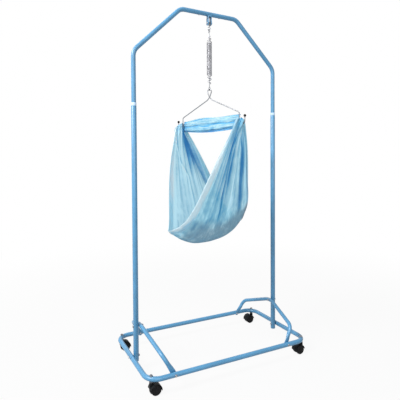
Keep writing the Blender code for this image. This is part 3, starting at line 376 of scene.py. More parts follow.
def paint_finish():
    """Glossy enamel on tube: slightly uneven, with faint orange peel and rubbed places."""
    colour = tuple(bpy.context.scene.cradle_stand.paint)
    finish = Finish("sky_blue_enamel", colour)
    cloud = finish.window(finish.noise(14.0, 3.0), 0.35, 0.65)
    fine = finish.noise(420.0, 2.0)
    rubbed = finish.window(finish.noise(95.0, 5.0, stretch=(1.0, 1.0, 0.25)), 0.66, 0.74)
    even = finish.blend(cloud, tint(colour, 0.94), tint(colour, 1.05))
    finish.set(
        Base_Color=finish.blend(rubbed * 0.2, even, tint(colour, 1.18)),
        Roughness=0.36 + cloud * 0.05 + rubbed * 0.12,
        Coat_Weight=0.18,
        Coat_Roughness=0.25,
        Normal=finish.bump(fine, 0.00003),
    )
    return finish.material


def collar_finish():
    """Pale moulded plastic, a little darker in random clouds."""
    colour = tuple(bpy.context.scene.cradle_stand.collar)
    finish = Finish("pale_collar_plastic", colour)
    cloud = finish.window(finish.noise(60.0, 3.0), 0.4, 0.7)
    finish.set(
        Base_Color=finish.blend(cloud, colour, tint(colour, 0.9)),
        Roughness=0.38 + cloud * 0.1,
        Normal=finish.bump(finish.noise(900.0), 0.00005),
    )
    return finish.material


def plated_finish(name, colour, roughness, stretch=(1.0, 1.0, 1.0)):
    """Plated steel wire or fasteners, with drawn streaks and dull patches."""
    finish = Finish(name, colour)
    streak = finish.noise(700.0, 3.0, stretch=stretch)
    dull = finish.window(finish.noise(45.0, 4.0), 0.45, 0.7)
    finish.set(
        Base_Color=finish.blend(dull, tint(colour, 1.08), tint(colour, 0.80)),
        Metallic=1.0,
        Roughness=roughness + streak * 0.10 + dull * 0.10,
        Normal=finish.bump(streak, 0.00004),
    )
    return finish.material


def moulded_finish(name, colour, roughness):
    """Black moulded plastic with a fine spark-eroded grain and dust."""
    finish = Finish(name, colour)
    grain = finish.noise(1500.0, 2.0)
    dust = finish.window(finish.noise(70.0, 5.0), 0.52, 0.75)
    finish.set(
        Base_Color=finish.blend(dust * 0.12, colour, tint(colour, 3.2)),
        Roughness=roughness + grain * 0.12 + dust * 0.10,
        Specular_IOR_Level=0.08,
        Normal=finish.bump(grain, 0.00008),
    )
    return finish.material


def mesh_from(name, build, sharp=35.0):
    """A mesh made by a function that fills a bmesh, shaded smooth up to an angle."""
    mesh = bpy.data.meshes.new(name)
    shape = bmesh.new()
    build(shape)
    bmesh.ops.recalc_face_normals(shape, faces=shape.faces)
    shape.to_mesh(mesh)
    shape.free()
    mesh.shade_smooth()
    mesh.set_sharp_from_angle(angle=math.radians(sharp))
    return mesh


def add_item(name, mesh, material):
    """Put a mesh with its material in the scene."""
    item = bpy.data.objects.new(name, mesh)
    bpy.context.scene.collection.objects.link(item)
    item.data.materials.append(material)
    return item


def add_piece(name, mesh, material, body, nodes):
    """Put a piece in the scene in place of frame nodes, riding on their body."""
    item = add_item(name, mesh, material)
    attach(item, body)
    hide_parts(*nodes)
    return item


def build_piece(name, node, build, material, sharp=35.0, body="root"):
    """Put a rigid piece, built by a function, in place of one frame node."""
    add_piece(name, mesh_from(name, build, sharp), material, body, [node])


def refinish(node, material):
    """Give a frame node that stays in sight a material of its own."""
    materials = frame["nodes"][node].data.materials
    materials.clear()
    materials.append(material)


def bridge(shape, first, second):
    """Join two rings of vertices, either of which may be a single point."""
    count = max(len(first), len(second))
    for index in range(count):
        after = (index + 1) % count
        if len(first) == 1:
            shape.faces.new((first[0], second[index], second[after]))
        elif len(second) == 1:
            shape.faces.new((first[index], second[0], first[after]))
        else:
            shape.faces.new((first[index], second[index], second[after], first[after]))


def join(shape, rings):
    """Join a row of rings, each to the next."""
    for first, second in zip(rings, rings[1:]):
        bridge(shape, first, second)


def hexagon_reach(inner, angle):
    """How far a hexagon reaches at an angle, from the radius of its inner circle."""
    sector = math.tau / HEX_SIDES
    return inner / math.cos((angle + sector / 2) % sector - sector / 2)


def turn(shape, profile, sides, matrix, closed=False, lead=0.5):
    """Turn a profile round the local Z axis, from a share of a step.

    Each entry has a radius and a height. A third value makes its ring a hexagon.
    """
    rings = []
    for radius, height, *hexagon in profile:
        if radius == 0:
            rings.append([shape.verts.new(matrix @ Vector((0, 0, height)))])
            continue
        ring = []
        for step in range(sides):
            angle = math.tau * (step + lead) / sides
            reach = hexagon_reach(radius, angle) if hexagon else radius
            point = Vector((reach * math.cos(angle), reach * math.sin(angle), height))
            ring.append(shape.verts.new(matrix @ point))
        rings.append(ring)
    join(shape, rings + rings[:1] if closed else rings)


def along(direction, place):
    """A matrix that turns local Z to a direction and moves to a place."""
    rotation = Vector(direction).to_track_quat("Z", "Y").to_matrix().to_4x4()
    return Matrix.Translation(Vector(place)) @ rotation


def rounded_path(corners, bends, steps=10):
    """A path through corners, with each inner corner bent to its radius."""
    points = [Vector(corners[0])]
    for index in range(1, len(corners) - 1):
        corner = Vector(corners[index])
        back = (Vector(corners[index - 1]) - corner).normalized()
        onward = (Vector(corners[index + 1]) - corner).normalized()
        half = back.angle(onward) / 2
        bend = bends[index - 1]
        centre = corner + (back + onward).normalized() * (bend / math.sin(half))
        first = corner + back * (bend / math.tan(half)) - centre
        last = corner + onward * (bend / math.tan(half)) - centre
        normal = first.cross(last).normalized()
        for step in range(steps + 1):
            turned = Matrix.Rotation(first.angle(last) * step / steps, 3, normal)
            points.append(centre + turned @ first)
    points.append(Vector(corners[-1]))
    return points


def path_frames(points, normal):
    """Frames carried along a path without twist, from a first normal."""
    frames = []
    carried = Vector(normal)
    for index, point in enumerate(points):
        before = points[max(index - 1, 0)]
        after = points[min(index + 1, len(points) - 1)]
        ahead = (after - point).normalized() if after != point else Vector()
        behind = (point - before).normalized() if before != point else Vector()
        tangent = (ahead + behind).normalized()
        carried = (carried - tangent * carried.dot(tangent)).normalized()
        frames.append((carried.copy(), tangent.cross(carried)))
    return frames


def path_ring(shape, point, frame, across, up, sides):
    """One oval ring of a sweep."""
    ring = []
    for step in range(sides):
        angle = math.tau * (step + 0.5) / sides
        offset = frame[0] * (across * math.cos(angle)) + frame[1] * (up * math.sin(angle))
        ring.append(shape.verts.new(point + offset))
    return ring


def sweep(shape, points, sizes, sides, normal, wall=0.0):
    """Sweep an oval section along a path; a wall above zero leaves an open bore."""
    frames = path_frames(points, normal)
    outer = []
    inner = []
    for point, frame, (across, up) in zip(points, frames, sizes):
        outer.append(path_ring(shape, point, frame, across, up, sides))
        if wall > 0:
            inner.append(path_ring(shape, point, frame, across - wall, up - wall, sides))
    join(shape, outer)
    if wall > 0:
        for first, second in zip(inner, inner[1:]):
            bridge(shape, second, first)
        bridge(shape, inner[0], outer[0])
        bridge(shape, outer[-1], inner[-1])
    else:
        shape.faces.new(outer[0])
        shape.faces.new(outer[-1])


def sweep_line(shape, line, sides, normal, wall=0.0):
    """Sweep a round section along a line of points with their radii."""
    points, radii = zip(*line)
    sweep(shape, points, [(radius, radius) for radius in radii], sides, normal, wall)


def extrude(shape, outline, depth, matrix, edge):
    """Extrude an outline in local XY along local Z, with chamfered rims."""
    count = len(outline)
    inset = []
    for index, (x, y) in enumerate(outline):
        before = Vector(outline[index - 1])
        after = Vector(outline[(index + 1) % count])
        run = (after - before).normalized()
        inset.append((x - run.y * edge, y + run.x * edge))
    levels = (
        (inset, -depth / 2), (outline, edge - depth / 2),
        (outline, depth / 2 - edge), (inset, depth / 2),
    )
    rings = [[shape.verts.new(matrix @ Vector((x, y, z))) for x, y in line] for line, z in levels]
    shape.faces.new(rings[0])
    shape.faces.new(rings[-1])
    join(shape, rings)


def arc(radius, start, end, steps, rise=0.0):
    """Points on an arc from one angle to another, its middle moved up by a rise."""
    angles = [start + (end - start) * step / steps for step in range(steps + 1)]
    return [(radius * math.cos(angle), rise + radius * math.sin(angle)) for angle in angles]


def base_corners(front, stand):
    """Corners of one half of the base loop, from its left end to its right end."""
    node = "base_rail_front" if front else "base_rail_rear"
    x = high(node).x - stand.rail_radius
    if front:
        y, reach = low(node).y + stand.rail_radius, high(node).y
    else:
        y, reach = high(node).y - stand.rail_radius, low(node).y
    return [(*spot, RAIL_HEIGHT) for spot in ((-x, reach), (-x, y), (x, y), (x, reach))]


def brace_path(side, stand):
    """The middle line of an end brace, between its two flat feet."""
    top_x = POST_X - stand.post_radius - GAP - stand.brace_radius
    tube_y = BASE_INSIDE - stand.brace_radius
    corners = [
        (side * BRACE_FOOT_X, -tube_y, RAIL_HEIGHT),
        (side * BRACE_KNEE_X, -tube_y, BRACE_KNEE_HEIGHT),
        (side * top_x, 0, BRACE_TOP_HEIGHT),
        (side * BRACE_KNEE_X, tube_y, BRACE_KNEE_HEIGHT),
        (side * BRACE_FOOT_X, tube_y, RAIL_HEIGHT),
    ]
    body = rounded_path(corners, [BRACE_KNEE_BEND, BRACE_TOP_BEND, BRACE_KNEE_BEND], 12)[1:-1]
    peak = max(point.z for point in body)
    slide = top_x - max(abs(point.x) for point in body)
    for point in body:
        share = (point.z - RAIL_HEIGHT) / (peak - RAIL_HEIGHT)
        point.z += (BRACE_TOP_HEIGHT - peak) * share
        point.x += side * slide * share
    return body


def brace_line(side, stand):
    """A brace's path with its section: flat at the bolted feet, round beyond them."""
    body = brace_path(side, stand)
    climb = (Vector((side * BRACE_KNEE_X, 0, BRACE_KNEE_HEIGHT))
             - Vector((side * BRACE_FOOT_X, 0, RAIL_HEIGHT))).normalized()
    flat_half = stand.brace_radius * FOOT_WIDENING_SHARE
    line = []
    for end in (-1, 1):
        bolt = Vector((side * BRACE_FOOT_X, end * (BASE_INSIDE - FOOT_THICKNESS / 2), RAIL_HEIGHT))
        foot = []
        for spot, width in FOOT_TIP_SHARES:
            reach = spot * (FOOT_BELOW_BOLT + FOOT_ABOVE_BOLT) - FOOT_BELOW_BOLT
            foot.append((bolt + climb * reach, (FOOT_THICKNESS / 2, flat_half * width)))
        last, section = foot[-1]
        first = body[0] if end < 0 else body[-1]
        for share in FOOT_SWELL_SHARES:
            eased = smooth(share, 0.0, 1.0)
            size = (
                section[0] + (stand.brace_radius - section[0]) * eased,
                section[1] + (stand.brace_radius - section[1]) * eased,
            )
            spot = last.lerp(first, share)
            spot.y = last.y + (first.y - last.y) * eased
            foot.append((spot, size))
        line.append(foot)
    round_size = (stand.brace_radius, stand.brace_radius)
    return [*line[0], *((point, round_size) for point in body), *reversed(line[1])]


class CRADLE_OT_tubes(bpy.types.Operator):
    """Build the base loop, the posts, the upper tubes, the collars and the braces"""

    bl_idname = "cradle.tubes"
    bl_label = "Tubes"

    def execute(self, context):
        stand = context.scene.cradle_stand
        paint = paint_finish()
        self.build_base(stand, paint)
        self.build_uprights(stand, paint)
        for side, word in SIDES:
            points, sizes = zip(*brace_line(side, stand))
            build_piece(
                "bent_brace_" + word, "brace_" + word,
                lambda shape: sweep(shape, points, sizes, TUBE_SIDES, AXIS_Y),
                paint, 50.0)
        return {"FINISHED"}

    def build_base(self, stand, paint):
        """The rear half has full ends; the front half's swaged ends slide into them."""
        radius = stand.rail_radius
        bends = [stand.corner_bend, stand.corner_bend]
        rear = [(point, radius) for point in rounded_path(base_corners(False, stand), bends)]
        front = rounded_path(base_corners(True, stand), bends)
        spigot = radius - stand.wall - GAP
        edge = stand.wall / 2
        steps = ((0.0, spigot), (SWAGE_TAPER, radius - edge), (SWAGE_TAPER + edge, radius))
        ends = []
        for end in (front[0], front[-1]):
            taper = [
                (Vector((end.x, -SWAGE_START - GAP - reach, RAIL_HEIGHT)), size)
                for reach, size in steps]
            ends.append([(end, spigot), *taper])
        swaged = [*ends[0], *((point, radius) for point in front[1:-1]), *reversed(ends[1])]
        for word, line in (("rear", rear), ("front", swaged)):
            build_piece(
                word + "_base_tube", "base_rail_" + word,
                lambda shape: sweep_line(shape, line, TUBE_SIDES, AXIS_Z, stand.wall),
                paint)

    def build_uprights(self, stand, paint):
        """Posts with rolled rims, the tubes that slide into them, and ring collars."""
        collar_plastic = collar_finish()
        for side, word in SIDES:
            seam = stand.seam - GAP if side < 0 else stand.seam
            corners = [
                (side * POST_X, 0, low("upper_tube_" + word).z),
                (side * POST_X, 0, stand.shoulder_height),
                (side * stand.top_half, 0, stand.top_height),
                (seam, 0, stand.top_height),
            ]
            path = rounded_path(corners, [stand.shoulder_bend, stand.top_bend])
            line = [(point, stand.upper_radius) for point in path]
            place = Matrix.Translation((side * POST_X, 0, 0))
            pieces = (
                ("lower_post_", "post_", paint, "frame_paint",
                 lambda shape: turn(shape, self.post_profile(stand), TURNED_SIDES, place, True)),
                ("bent_upper_tube_", "upper_tube_", paint, "frame_paint",
                 lambda shape: sweep_line(shape, line, TUBE_SIDES, AXIS_Y, stand.wall)),
                ("ring_collar_", "collar_", collar_plastic, "collar_plastic",
                 lambda shape: turn(shape, self.collar_profile(stand), TURNED_SIDES, place, True)),
            )
            for name, node, material, slot, build in pieces:
                build_piece(name + word, node + word, build, material)

    def post_profile(self, stand):
        """The section of a post's wall, with a rolled rim at each end."""
        rim = stand.wall / 2
        outer = stand.post_radius
        bore = outer - stand.wall
        return [
            (bore, POST_FOOT + rim), (bore + rim, POST_FOOT), (outer - rim / 2, POST_FOOT),
            (outer, POST_FOOT + rim), (outer, POST_TOP - rim), (outer - rim / 2, POST_TOP),
            (bore + rim, POST_TOP), (bore, POST_TOP - rim),
        ]

    def collar_profile(self, stand):
        """The section of a collar, with a rounded shoulder at its top."""
        inner = stand.upper_radius + GAP
        outer = high("collar_right").x - POST_X
        edge = (outer - inner) / 2
        return [
            (inner, COLLAR_LOW), (outer - edge, COLLAR_LOW),
            (outer - edge / 4, COLLAR_LOW + edge / 3), (outer, COLLAR_LOW + edge),
            (outer, COLLAR_TOP - 2 * edge), (outer - edge / 3, COLLAR_TOP - edge / 2),
            (outer - edge, COLLAR_TOP), (inner, COLLAR_TOP),
        ]


FASTENER_SIDES = 36
HEX_SIDES = 6
BOLT_RADIUS = 0.003
BOLT_HEAD_RADIUS = 0.006
BOLT_HEAD_HEIGHT = 0.0032
NUT_ACROSS = 0.010
NUT_HEIGHT = 0.005
STEM_NUT_ACROSS = 0.013
STEM_RADIUS = 0.004
SCREW_HEAD_HEIGHT = 0.0022
SCREW_HEAD_RADIUS = 0.0042


def pan_head(radius, height):
    """The profile of a domed head, from a cross recess to the rim that seats at zero."""
    recess = radius * 0.34
    profile = [(0, -height * 0.45), (recess * 0.55, -height * 0.50), (recess, -height * 0.985)]
    for angle in (20, 38, 56, 74):
        reach = math.radians(angle)
        profile.append((
            recess + (radius - recess) * math.sin(reach), -height * math.cos(reach) ** 0.8))
    return [*profile, (radius, -height * 0.16), (radius, 0)]


def bolt_profile(grip):
    """The profile of a domed bolt with a cap nut at the far end of its grip."""
    flat = NUT_ACROSS / 2
    profile = [
        *pan_head(BOLT_HEAD_RADIUS, BOLT_HEAD_HEIGHT), (BOLT_RADIUS, 0), (BOLT_RADIUS, grip),
        (flat, grip), (flat, grip + NUT_HEIGHT * 0.10, True),
        (flat, grip + NUT_HEIGHT * 0.50, True), (flat, grip + NUT_HEIGHT * 0.60),
    ]
    for angle in (0, 25, 50, 70):
        reach = math.radians(angle)
        level = grip + NUT_HEIGHT * (0.62 + 0.36 * math.sin(reach))
        profile.append((flat * 0.86 * math.cos(reach), level))
    return [*profile, (0, grip + NUT_HEIGHT)]


def nut_profile(across, height, bore):
    """The profile of a six-sided nut with chamfered rims and a round bore."""
    flat = across / 2
    mouth = bore + height * 0.1
    return [
        (flat, 0), (flat, height * 0.12, True), (flat, height * 0.88, True), (flat, height),
        (mouth, height), (bore, height * 0.9), (bore, height * 0.1), (mouth, 0),
    ]


def add_fastener(name, node, profile, matrix, steel, sharp=25.0, closed=False):
    """A turned fastener, with a vertex on each corner of its hexagons."""
    build_piece(
        name, node, lambda shape: turn(shape, profile, FASTENER_SIDES, matrix, closed, lead=0),
        steel, sharp)


class CRADLE_OT_fasteners(bpy.types.Operator):
    """Build the bolts and nuts of the frame and the screws under the top bar"""

    bl_idname = "cradle.fasteners"
    bl_label = "Fasteners"

    def execute(self, context):
        plating = tuple(context.scene.cradle_stand.plating)
        steel = plated_finish("zinc_plate", plating, 0.24)
        for name in ("rail_bolt_", "brace_top_bolt_"):
            for side, word in SIDES:
                self.add_bolt(name + word, AXIS_X * -side, steel)
        for _, end, corner in CORNERS:
            self.add_bolt("brace_foot_bolt_" + corner, AXIS_Y * -end, steel)
            node = "stem_nut_" + corner
            height = high(node).z - low(node).z
            place = (middle(node).x, middle(node).y, low(node).z)
            profile = nut_profile(STEM_NUT_ACROSS, height, STEM_RADIUS + GAP)
            add_fastener(
                "caster_nut_" + corner, node, profile, along(AXIS_Z, place), steel, closed=True)
        shank = SCREW_HEAD_RADIUS / 2
        for _, word in SIDES:
            node = "splice_screw_" + word
            seat = Vector((middle(node).x, 0, low(node).z + SCREW_HEAD_HEIGHT))
            length = high(node).z - seat.z
            profile = [
                *pan_head(SCREW_HEAD_RADIUS, SCREW_HEAD_HEIGHT),
                (shank, 0), (shank, length * 0.85), (0, length)]
            add_fastener("bar_screw_" + word, node, profile, along(AXIS_Z, seat), steel, 30.0)
        inside = plated_finish("inner_sleeve_plate", tint(plating, 0.8), 0.4)
        for node in ("splice_sleeve", *("caster_stem_" + corner for _, _, corner in CORNERS)):
            refinish(node, inside)
        return {"FINISHED"}

    def add_bolt(self, node, direction, steel):
        """A bolt through the frame node's box, from its outer side inwards."""
        half = abs((high(node) - low(node)).dot(direction)) / 2
        head = middle(node) - direction * (half - BOLT_HEAD_HEIGHT)
        nut = middle(node) + direction * (half - NUT_HEIGHT)
        add_fastener(
            "capped_" + node, node, bolt_profile((nut - head).length),
            along(nut - head, head), steel)


BOSS_RADIUS = 0.0085
BOSS_HEIGHT = 0.0125
STEM_FLANGE = 0.0022
WHEEL_RECESS = 0.0015
AXLE_RADIUS = 0.003
HOOD_SIDE_LIP = 0.002
HOOD_START = 8
HOOD_SWEEP = 180
HOOD_STEPS = 28
HUB_RADIUS = 0.0075
TREAD_EDGE = 0.0022
WHEEL_SIDES = 48
UPRIGHT = Matrix.Rotation(math.radians(90), 4, "X")


class CRADLE_OT_casters(bpy.types.Operator):
    """Build the four twin-wheel casters under the corner bends"""

    bl_idname = "cradle.casters"
    bl_label = "Casters"

    def execute(self, context):
        casters = context.scene.cradle_casters
        plastic = moulded_finish("hood_plastic", tuple(casters.plastic), 0.34)
        tyre = moulded_finish("wheel_plastic", tuple(casters.tyre), 0.46)
        steel = plated_finish("axle_steel", (0.45, 0.45, 0.46), 0.35)
        wheel_profile = self.wheel_profile(casters)
        for side, end, corner in CORNERS:
            axle = Vector((side * AXLE_X, end * STEM_Y, AXLE_HEIGHT))
            build_piece(
                "twin_wheel_hood_" + corner, "caster_hood_" + corner,
                lambda shape: self.hood(shape, casters, axle, side),
                plastic, 30.0, "caster_" + corner)
            refinish("caster_axle_" + corner, steel)
            for facing, letter in ((-1, "a"), (1, "b")):
                wheel = "wheel_" + corner + "_" + letter
                place = along(AXIS_Y * facing, axle)
                build_piece(
                    "caster_" + wheel, "caster_" + wheel,
                    lambda shape: turn(shape, wheel_profile, WHEEL_SIDES, place),
                    tyre, 30.0, wheel)
        return {"FINISHED"}

    def hood(self, shape, casters, axle, side):
        """The web between the wheels, the cover over them and the boss of the stem."""
        stem_x = side * STEM_X
        inner = AXLE_HEIGHT + 2 * casters.running_gap
        outer = inner + casters.hood_shell
        rail_radius = RAIL_HEIGHT - RAIL_UNDERSIDE
        boss_top = low("stem_nut_front_left").z - 2 * rail_radius - STEM_FLANGE - 3 * GAP
        shoulder = boss_top - BOSS_HEIGHT
        seat = shoulder + casters.hood_shell

        def rim(start, end, steps):
            """Part of the web's rim under the cover, between two angles in degrees."""
            points = arc(
                outer - casters.running_gap, math.radians(start), math.radians(end), steps)
            return [(axle.x + side * x, z + axle.z) for x, z in points]

        web = [
            *rim(200, 72, 14), (stem_x - side * BOSS_RADIUS / 2, seat),
            (stem_x + side * BOSS_RADIUS * 0.9, seat), *rim(5, -40, 6)]
        if side < 0:
            web.reverse()
        place = Matrix.Translation((0, axle.y, 0)) @ UPRIGHT
        extrude(shape, web, casters.web, place, casters.running_gap / 2)

        half = casters.web / 2 + casters.running_gap + casters.wheel_width + HOOD_SIDE_LIP
        lip = casters.hood_shell / 2
        section = (
            (inner, -half + lip / 2), (inner + lip / 2, -half), (outer - lip, -half),
            (outer - lip / 3, -half + lip / 3), (outer, -half + lip), (outer, half - lip),
            (outer - lip / 3, half - lip / 3), (outer - lip, half), (inner + lip / 2, half),
            (inner, half - lip / 2),
        )
        rings = []
        for step in range(HOOD_STEPS + 1):
            angle = math.radians(HOOD_START + HOOD_SWEEP * step / HOOD_STEPS)
            rings.append([
                shape.verts.new((
                    axle.x + side * radius * math.cos(angle),
                    axle.y + across,
                    axle.z + radius * math.sin(angle)))
                for radius, across in section])
        join(shape, rings)
        shape.faces.new(rings[0])
        shape.faces.new(rings[-1])

        edge = casters.running_gap
        socket = STEM_RADIUS + casters.running_gap / 2
        boss = [
            (0, shoulder), (BOSS_RADIUS, shoulder), (BOSS_RADIUS, boss_top - edge),
            (BOSS_RADIUS - edge, boss_top), (socket, boss_top), (socket, seat), (0, seat),
        ]
        turn(shape, boss, TURNED_SIDES, Matrix.Translation((stem_x, axle.y, 0)))

    def wheel_profile(self, casters):
        """A wheel with a crowned tread, a dished side and a hub cap."""
        inside = casters.web / 2 + casters.running_gap
        outside = inside + casters.wheel_width
        rim = AXLE_HEIGHT
        bore = AXLE_RADIUS + casters.running_gap / 2
        deep = outside - 2 * WHEEL_RECESS
        edge = TREAD_EDGE
        return [
            (0, deep), (bore, deep), (bore, inside), (rim - edge, inside),
            (rim - edge / 4, inside + edge / 3), (rim, inside + edge),
            (rim, outside - 1.6 * edge), (rim - edge / 5, outside - edge),
            (rim - edge / 2, outside - edge / 2), (rim - edge, outside - edge / 6),
            (rim - 1.5 * edge, outside - edge / 6), (rim - 1.8 * edge, outside - WHEEL_RECESS),
            (HUB_RADIUS, outside - WHEEL_RECESS * 0.8), (HUB_RADIUS * 0.96, outside - edge / 8),
            (HUB_RADIUS * 0.75, outside), (0, outside),
        ]


BRACKET_INSIDE = 0.015
BRACKET_PLATE = 0.0025
BRACKET_WEB = 0.003
BRACKET_LIP_SHARE = 0.8
PIN_RADIUS = 0.003
PIN_HEAD_RADIUS = 0.0055
PIN_HEAD_HEIGHT = 0.003
LOOP_LEAVE = math.radians(-35)
LOOP_SWEEP = math.radians(290)
LOOP_STEPS = 26
WIRE_END_SHARES = ((0.55, 0.25), (0.42, 0.65), (0.22, 0.9))
HEAD_SHARES = ((0.55, 0.25), (0.85, 0.6), (1.0, 0.9), (1.12, 1.0), (1.85, 1.0), (2.0, 0.85))
HEAD_THICKNESS = 0.004
HEAD_DEPTH_SHARE = 0.36
UPPER_HEAD = TOP_HOOK_LOW + HEAD_THICKNESS
LOWER_HEAD = LOW_HOOK_TOP - HEAD_THICKNESS
SEAT_GAP = 0.0005
STEPS_PER_TURN = 22
WIRE_SIDES = 16
HOOK_SIDES = 20
COIL_SIDES = 12


def loop_points(centre_z, radius, across, rise):
    """An open wire loop on the axis, from its tip to where it leaves, upright or upside down."""
    points = []
    for step in range(LOOP_STEPS + 1):
        angle = LOOP_LEAVE + LOOP_SWEEP * (1 - step / LOOP_STEPS)
        side = Vector(across) * (radius * math.cos(angle))
        points.append(side + Vector((0, 0, centre_z + radius * math.sin(angle) * rise)))
    return points


def rounded_end(end, inside, radius):
    """Points and radii that close a wire with a small dome within its length."""
    away = (end - inside).normalized()
    return [(end + away * (radius * reach), radius * size) for reach, size in WIRE_END_SHARES]


def round_wire(shape, points, radius, sides, normal):
    """A round wire whose free ends are rounded off."""
    first = rounded_end(points[0], points[1], radius)
    last = rounded_end(points[-1], points[-2], radius)
    line = [*first, *((point, radius) for point in points), *reversed(last)]
    sweep_line(shape, line, sides, normal)


class CRADLE_OT_suspension(bpy.types.Operator):
    """Build the bracket with its pin, the link, the two hooks and the spring"""

    bl_idname = "cradle.suspension"
    bl_label = "Bracket, hooks and spring"

    def execute(self, context):
        stand = context.scene.cradle_stand
        spring = context.scene.cradle_spring
        steel = plated_finish("plated_wire", tuple(stand.plating), 0.22, (1.0, 1.0, 0.2))
        self.build_bracket(stand, paint_finish(), steel)
        self.build_wires(spring, steel)
        self.build_spring(spring)
        return {"FINISHED"}

    def build_bracket(self, stand, paint, steel):
        """Two plates under a saddle, with a domed pin and its nut across them."""
        half = (high("hanger_bracket").y - low("hanger_bracket").y) / 2
        saddle = stand.upper_radius + GAP
        lip = math.acos(half * BRACKET_LIP_SHARE / saddle)
        upper = arc(saddle, -lip, lip - math.pi, 16)
        plate = upper + arc(half, math.pi, math.tau, 20, PIN_HEIGHT - stand.top_height)
        web = [*upper, (-half, -saddle - BRACKET_WEB), (half, -saddle - BRACKET_WEB)]
        facing = Matrix(((0, 0, 1, 0), (1, 0, 0, 0), (0, 1, 0, 0), (0, 0, 0, 1)))
        middle_x = (BRACKET_INSIDE + BRACKET_PLATE) / 2
        parts = (
            (-middle_x, plate, BRACKET_PLATE, GAP),
            (middle_x, plate, BRACKET_PLATE, GAP),
            (0, web, BRACKET_INSIDE + GAP, GAP / 2),
        )

        def clevis(shape):
            """The two plates and the web between them."""
            for x, outline, depth, edge in parts:
                place = Matrix.Translation((x, 0, stand.top_height)) @ facing
                extrude(shape, outline, depth, place, edge)

        build_piece("painted_clevis", "hanger_bracket", clevis, paint, 25.0)

        outside = BRACKET_INSIDE / 2 + BRACKET_PLATE + GAP
        length = high("bracket_pin").x + outside
        pin = [
            *pan_head(PIN_HEAD_RADIUS, PIN_HEAD_HEIGHT), (PIN_RADIUS, 0),
            (PIN_RADIUS, length - 3 * GAP), (PIN_RADIUS - 2 * GAP, length), (0, length)]
        nut = nut_profile(NUT_ACROSS, NUT_HEIGHT, PIN_RADIUS + GAP)
        for name, node, x, profile, sharp, closed in (
                ("domed_pin", "bracket_pin", -outside, pin, 30.0, False),
                ("pin_nut", "bracket_pin_nut", outside, nut, 25.0, True)):
            place = along(AXIS_X, (x, 0, PIN_HEIGHT))
            add_fastener(name, node, profile, place, steel, sharp, closed)

    def build_wires(self, spring, steel):
        """The link, and two hooks whose round heads sit inside the spring's cones."""
        wire = spring.hook_wire
        loop = spring.hook_loop
        upper = loop_points(LINK_TOP - wire - loop, loop, AXIS_Y, 1)
        lower = loop_points(LINK_LOW + wire + loop, loop, AXIS_X, -1)
        link = [*upper, *reversed(lower)]
        build_piece(
            "wire_link", "pin_link",
            lambda shape: round_wire(shape, link, wire, WIRE_SIDES, AXIS_X),
            steel, 50.0, "link")

        radius = spring.coil_radius - (spring.coil_radius - spring.neck) * HEAD_DEPTH_SHARE
        radius -= spring.coil_wire + SEAT_GAP
        across = Matrix.Rotation(spring.hanger_turn, 3, "Z") @ AXIS_Y
        hooks = (
            ("upper_hook", "top_hook", TOP_HOOK_TOP - wire - loop, AXIS_Y, 1, UPPER_HEAD),
            ("lower_hook", "low_hook", LOW_HOOK_LOW + wire + loop, across, -1, LOWER_HEAD),
        )
        for name, body, centre, aside, rise, head in hooks:
            build_piece(
                name, "spring_" + body,
                lambda shape: self.hook(shape, spring, centre, aside, rise, head, radius),
                steel, 50.0, body)

    def hook(self, shape, spring, centre, across, rise, head, head_radius):
        """A loop, a straight shank and the head that the spring's cone holds."""
        wire = spring.hook_wire
        loop = loop_points(centre, spring.hook_loop, across, rise)
        meet = centre - rise * spring.hook_loop / abs(math.sin(LOOP_LEAVE))
        neck = head + rise * HEAD_THICKNESS
        shank = rounded_path([loop[-1], (0, 0, meet), (0, 0, neck)], [spring.hook_loop], 8)
        path = loop[:-1] + shank
        line = rounded_end(path[0], path[1], wire) + [(point, wire) for point in path]
        for reach, size in HEAD_SHARES:
            spot = Vector((0, 0, neck - rise * HEAD_THICKNESS * reach))
            line.append((spot, wire + (head_radius - wire) * size))
        sweep_line(shape, line, HOOK_SIDES, AXIS_Z.cross(across))

    def build_spring(self, spring):
        """A wound coil with a cone at each end, drawn out between its two hooks."""
        points = []
        body_top = UPPER_HEAD - spring.top_cone * HEAD_DEPTH_SHARE
        body_low = LOWER_HEAD + spring.bottom_cone * HEAD_DEPTH_SHARE
        pitch = (body_top - body_low) / spring.turns
        for step in range((spring.turns + 2 * spring.cone_turns) * STEPS_PER_TURN + 1):
            done = step / STEPS_PER_TURN
            share = 0.0
            height = body_top - pitch * (done - spring.cone_turns)
            if done < spring.cone_turns:
                share = 1 - done / spring.cone_turns
                height = body_top + spring.top_cone * share
            elif done > spring.cone_turns + spring.turns:
                share = (done - spring.cone_turns - spring.turns) / spring.cone_turns
                height = body_low - spring.bottom_cone * share
            radius = spring.coil_radius + (spring.neck - spring.coil_radius) * share
            angle = math.tau * done
            points.append(Vector((radius * math.cos(angle), radius * math.sin(angle), height)))
        mesh = mesh_from(
            "wound_spring",
            lambda shape: round_wire(shape, points, spring.coil_wire, COIL_SIDES, AXIS_Z), 60.0)
        chrome = plated_finish("spring_chrome", tuple(spring.chrome), 0.26)
        item = add_item("wound_spring", mesh, chrome)
        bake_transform(item)
        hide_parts("spring")


EYE_HALF = 0.0105
EYE_START = math.radians(-20)
EYE_HEIGHT = 0.0385
EYE_STEPS = 24
ARM_HALF = 0.180
ARM_DROP = 0.094
ARM_SHOULDER = 0.014
ARM_SHOULDER_DROP = 0.016
KNEE_BEND = 0.012
TIP_HALF = 0.2114
TIP_DROP = 0.112
HOOK_DROP = 0.153
BALL_RADIUS = 0.0064
BALL_HEIGHT = 0.0135
BALL_SOCKET = 0.008
BALL_STEPS = 18
BALL_SIDES = 28
HOOK_MIDDLE = (ARM_HALF + TIP_HALF) / 2
NEARLY_FULL_SHARE = 0.999


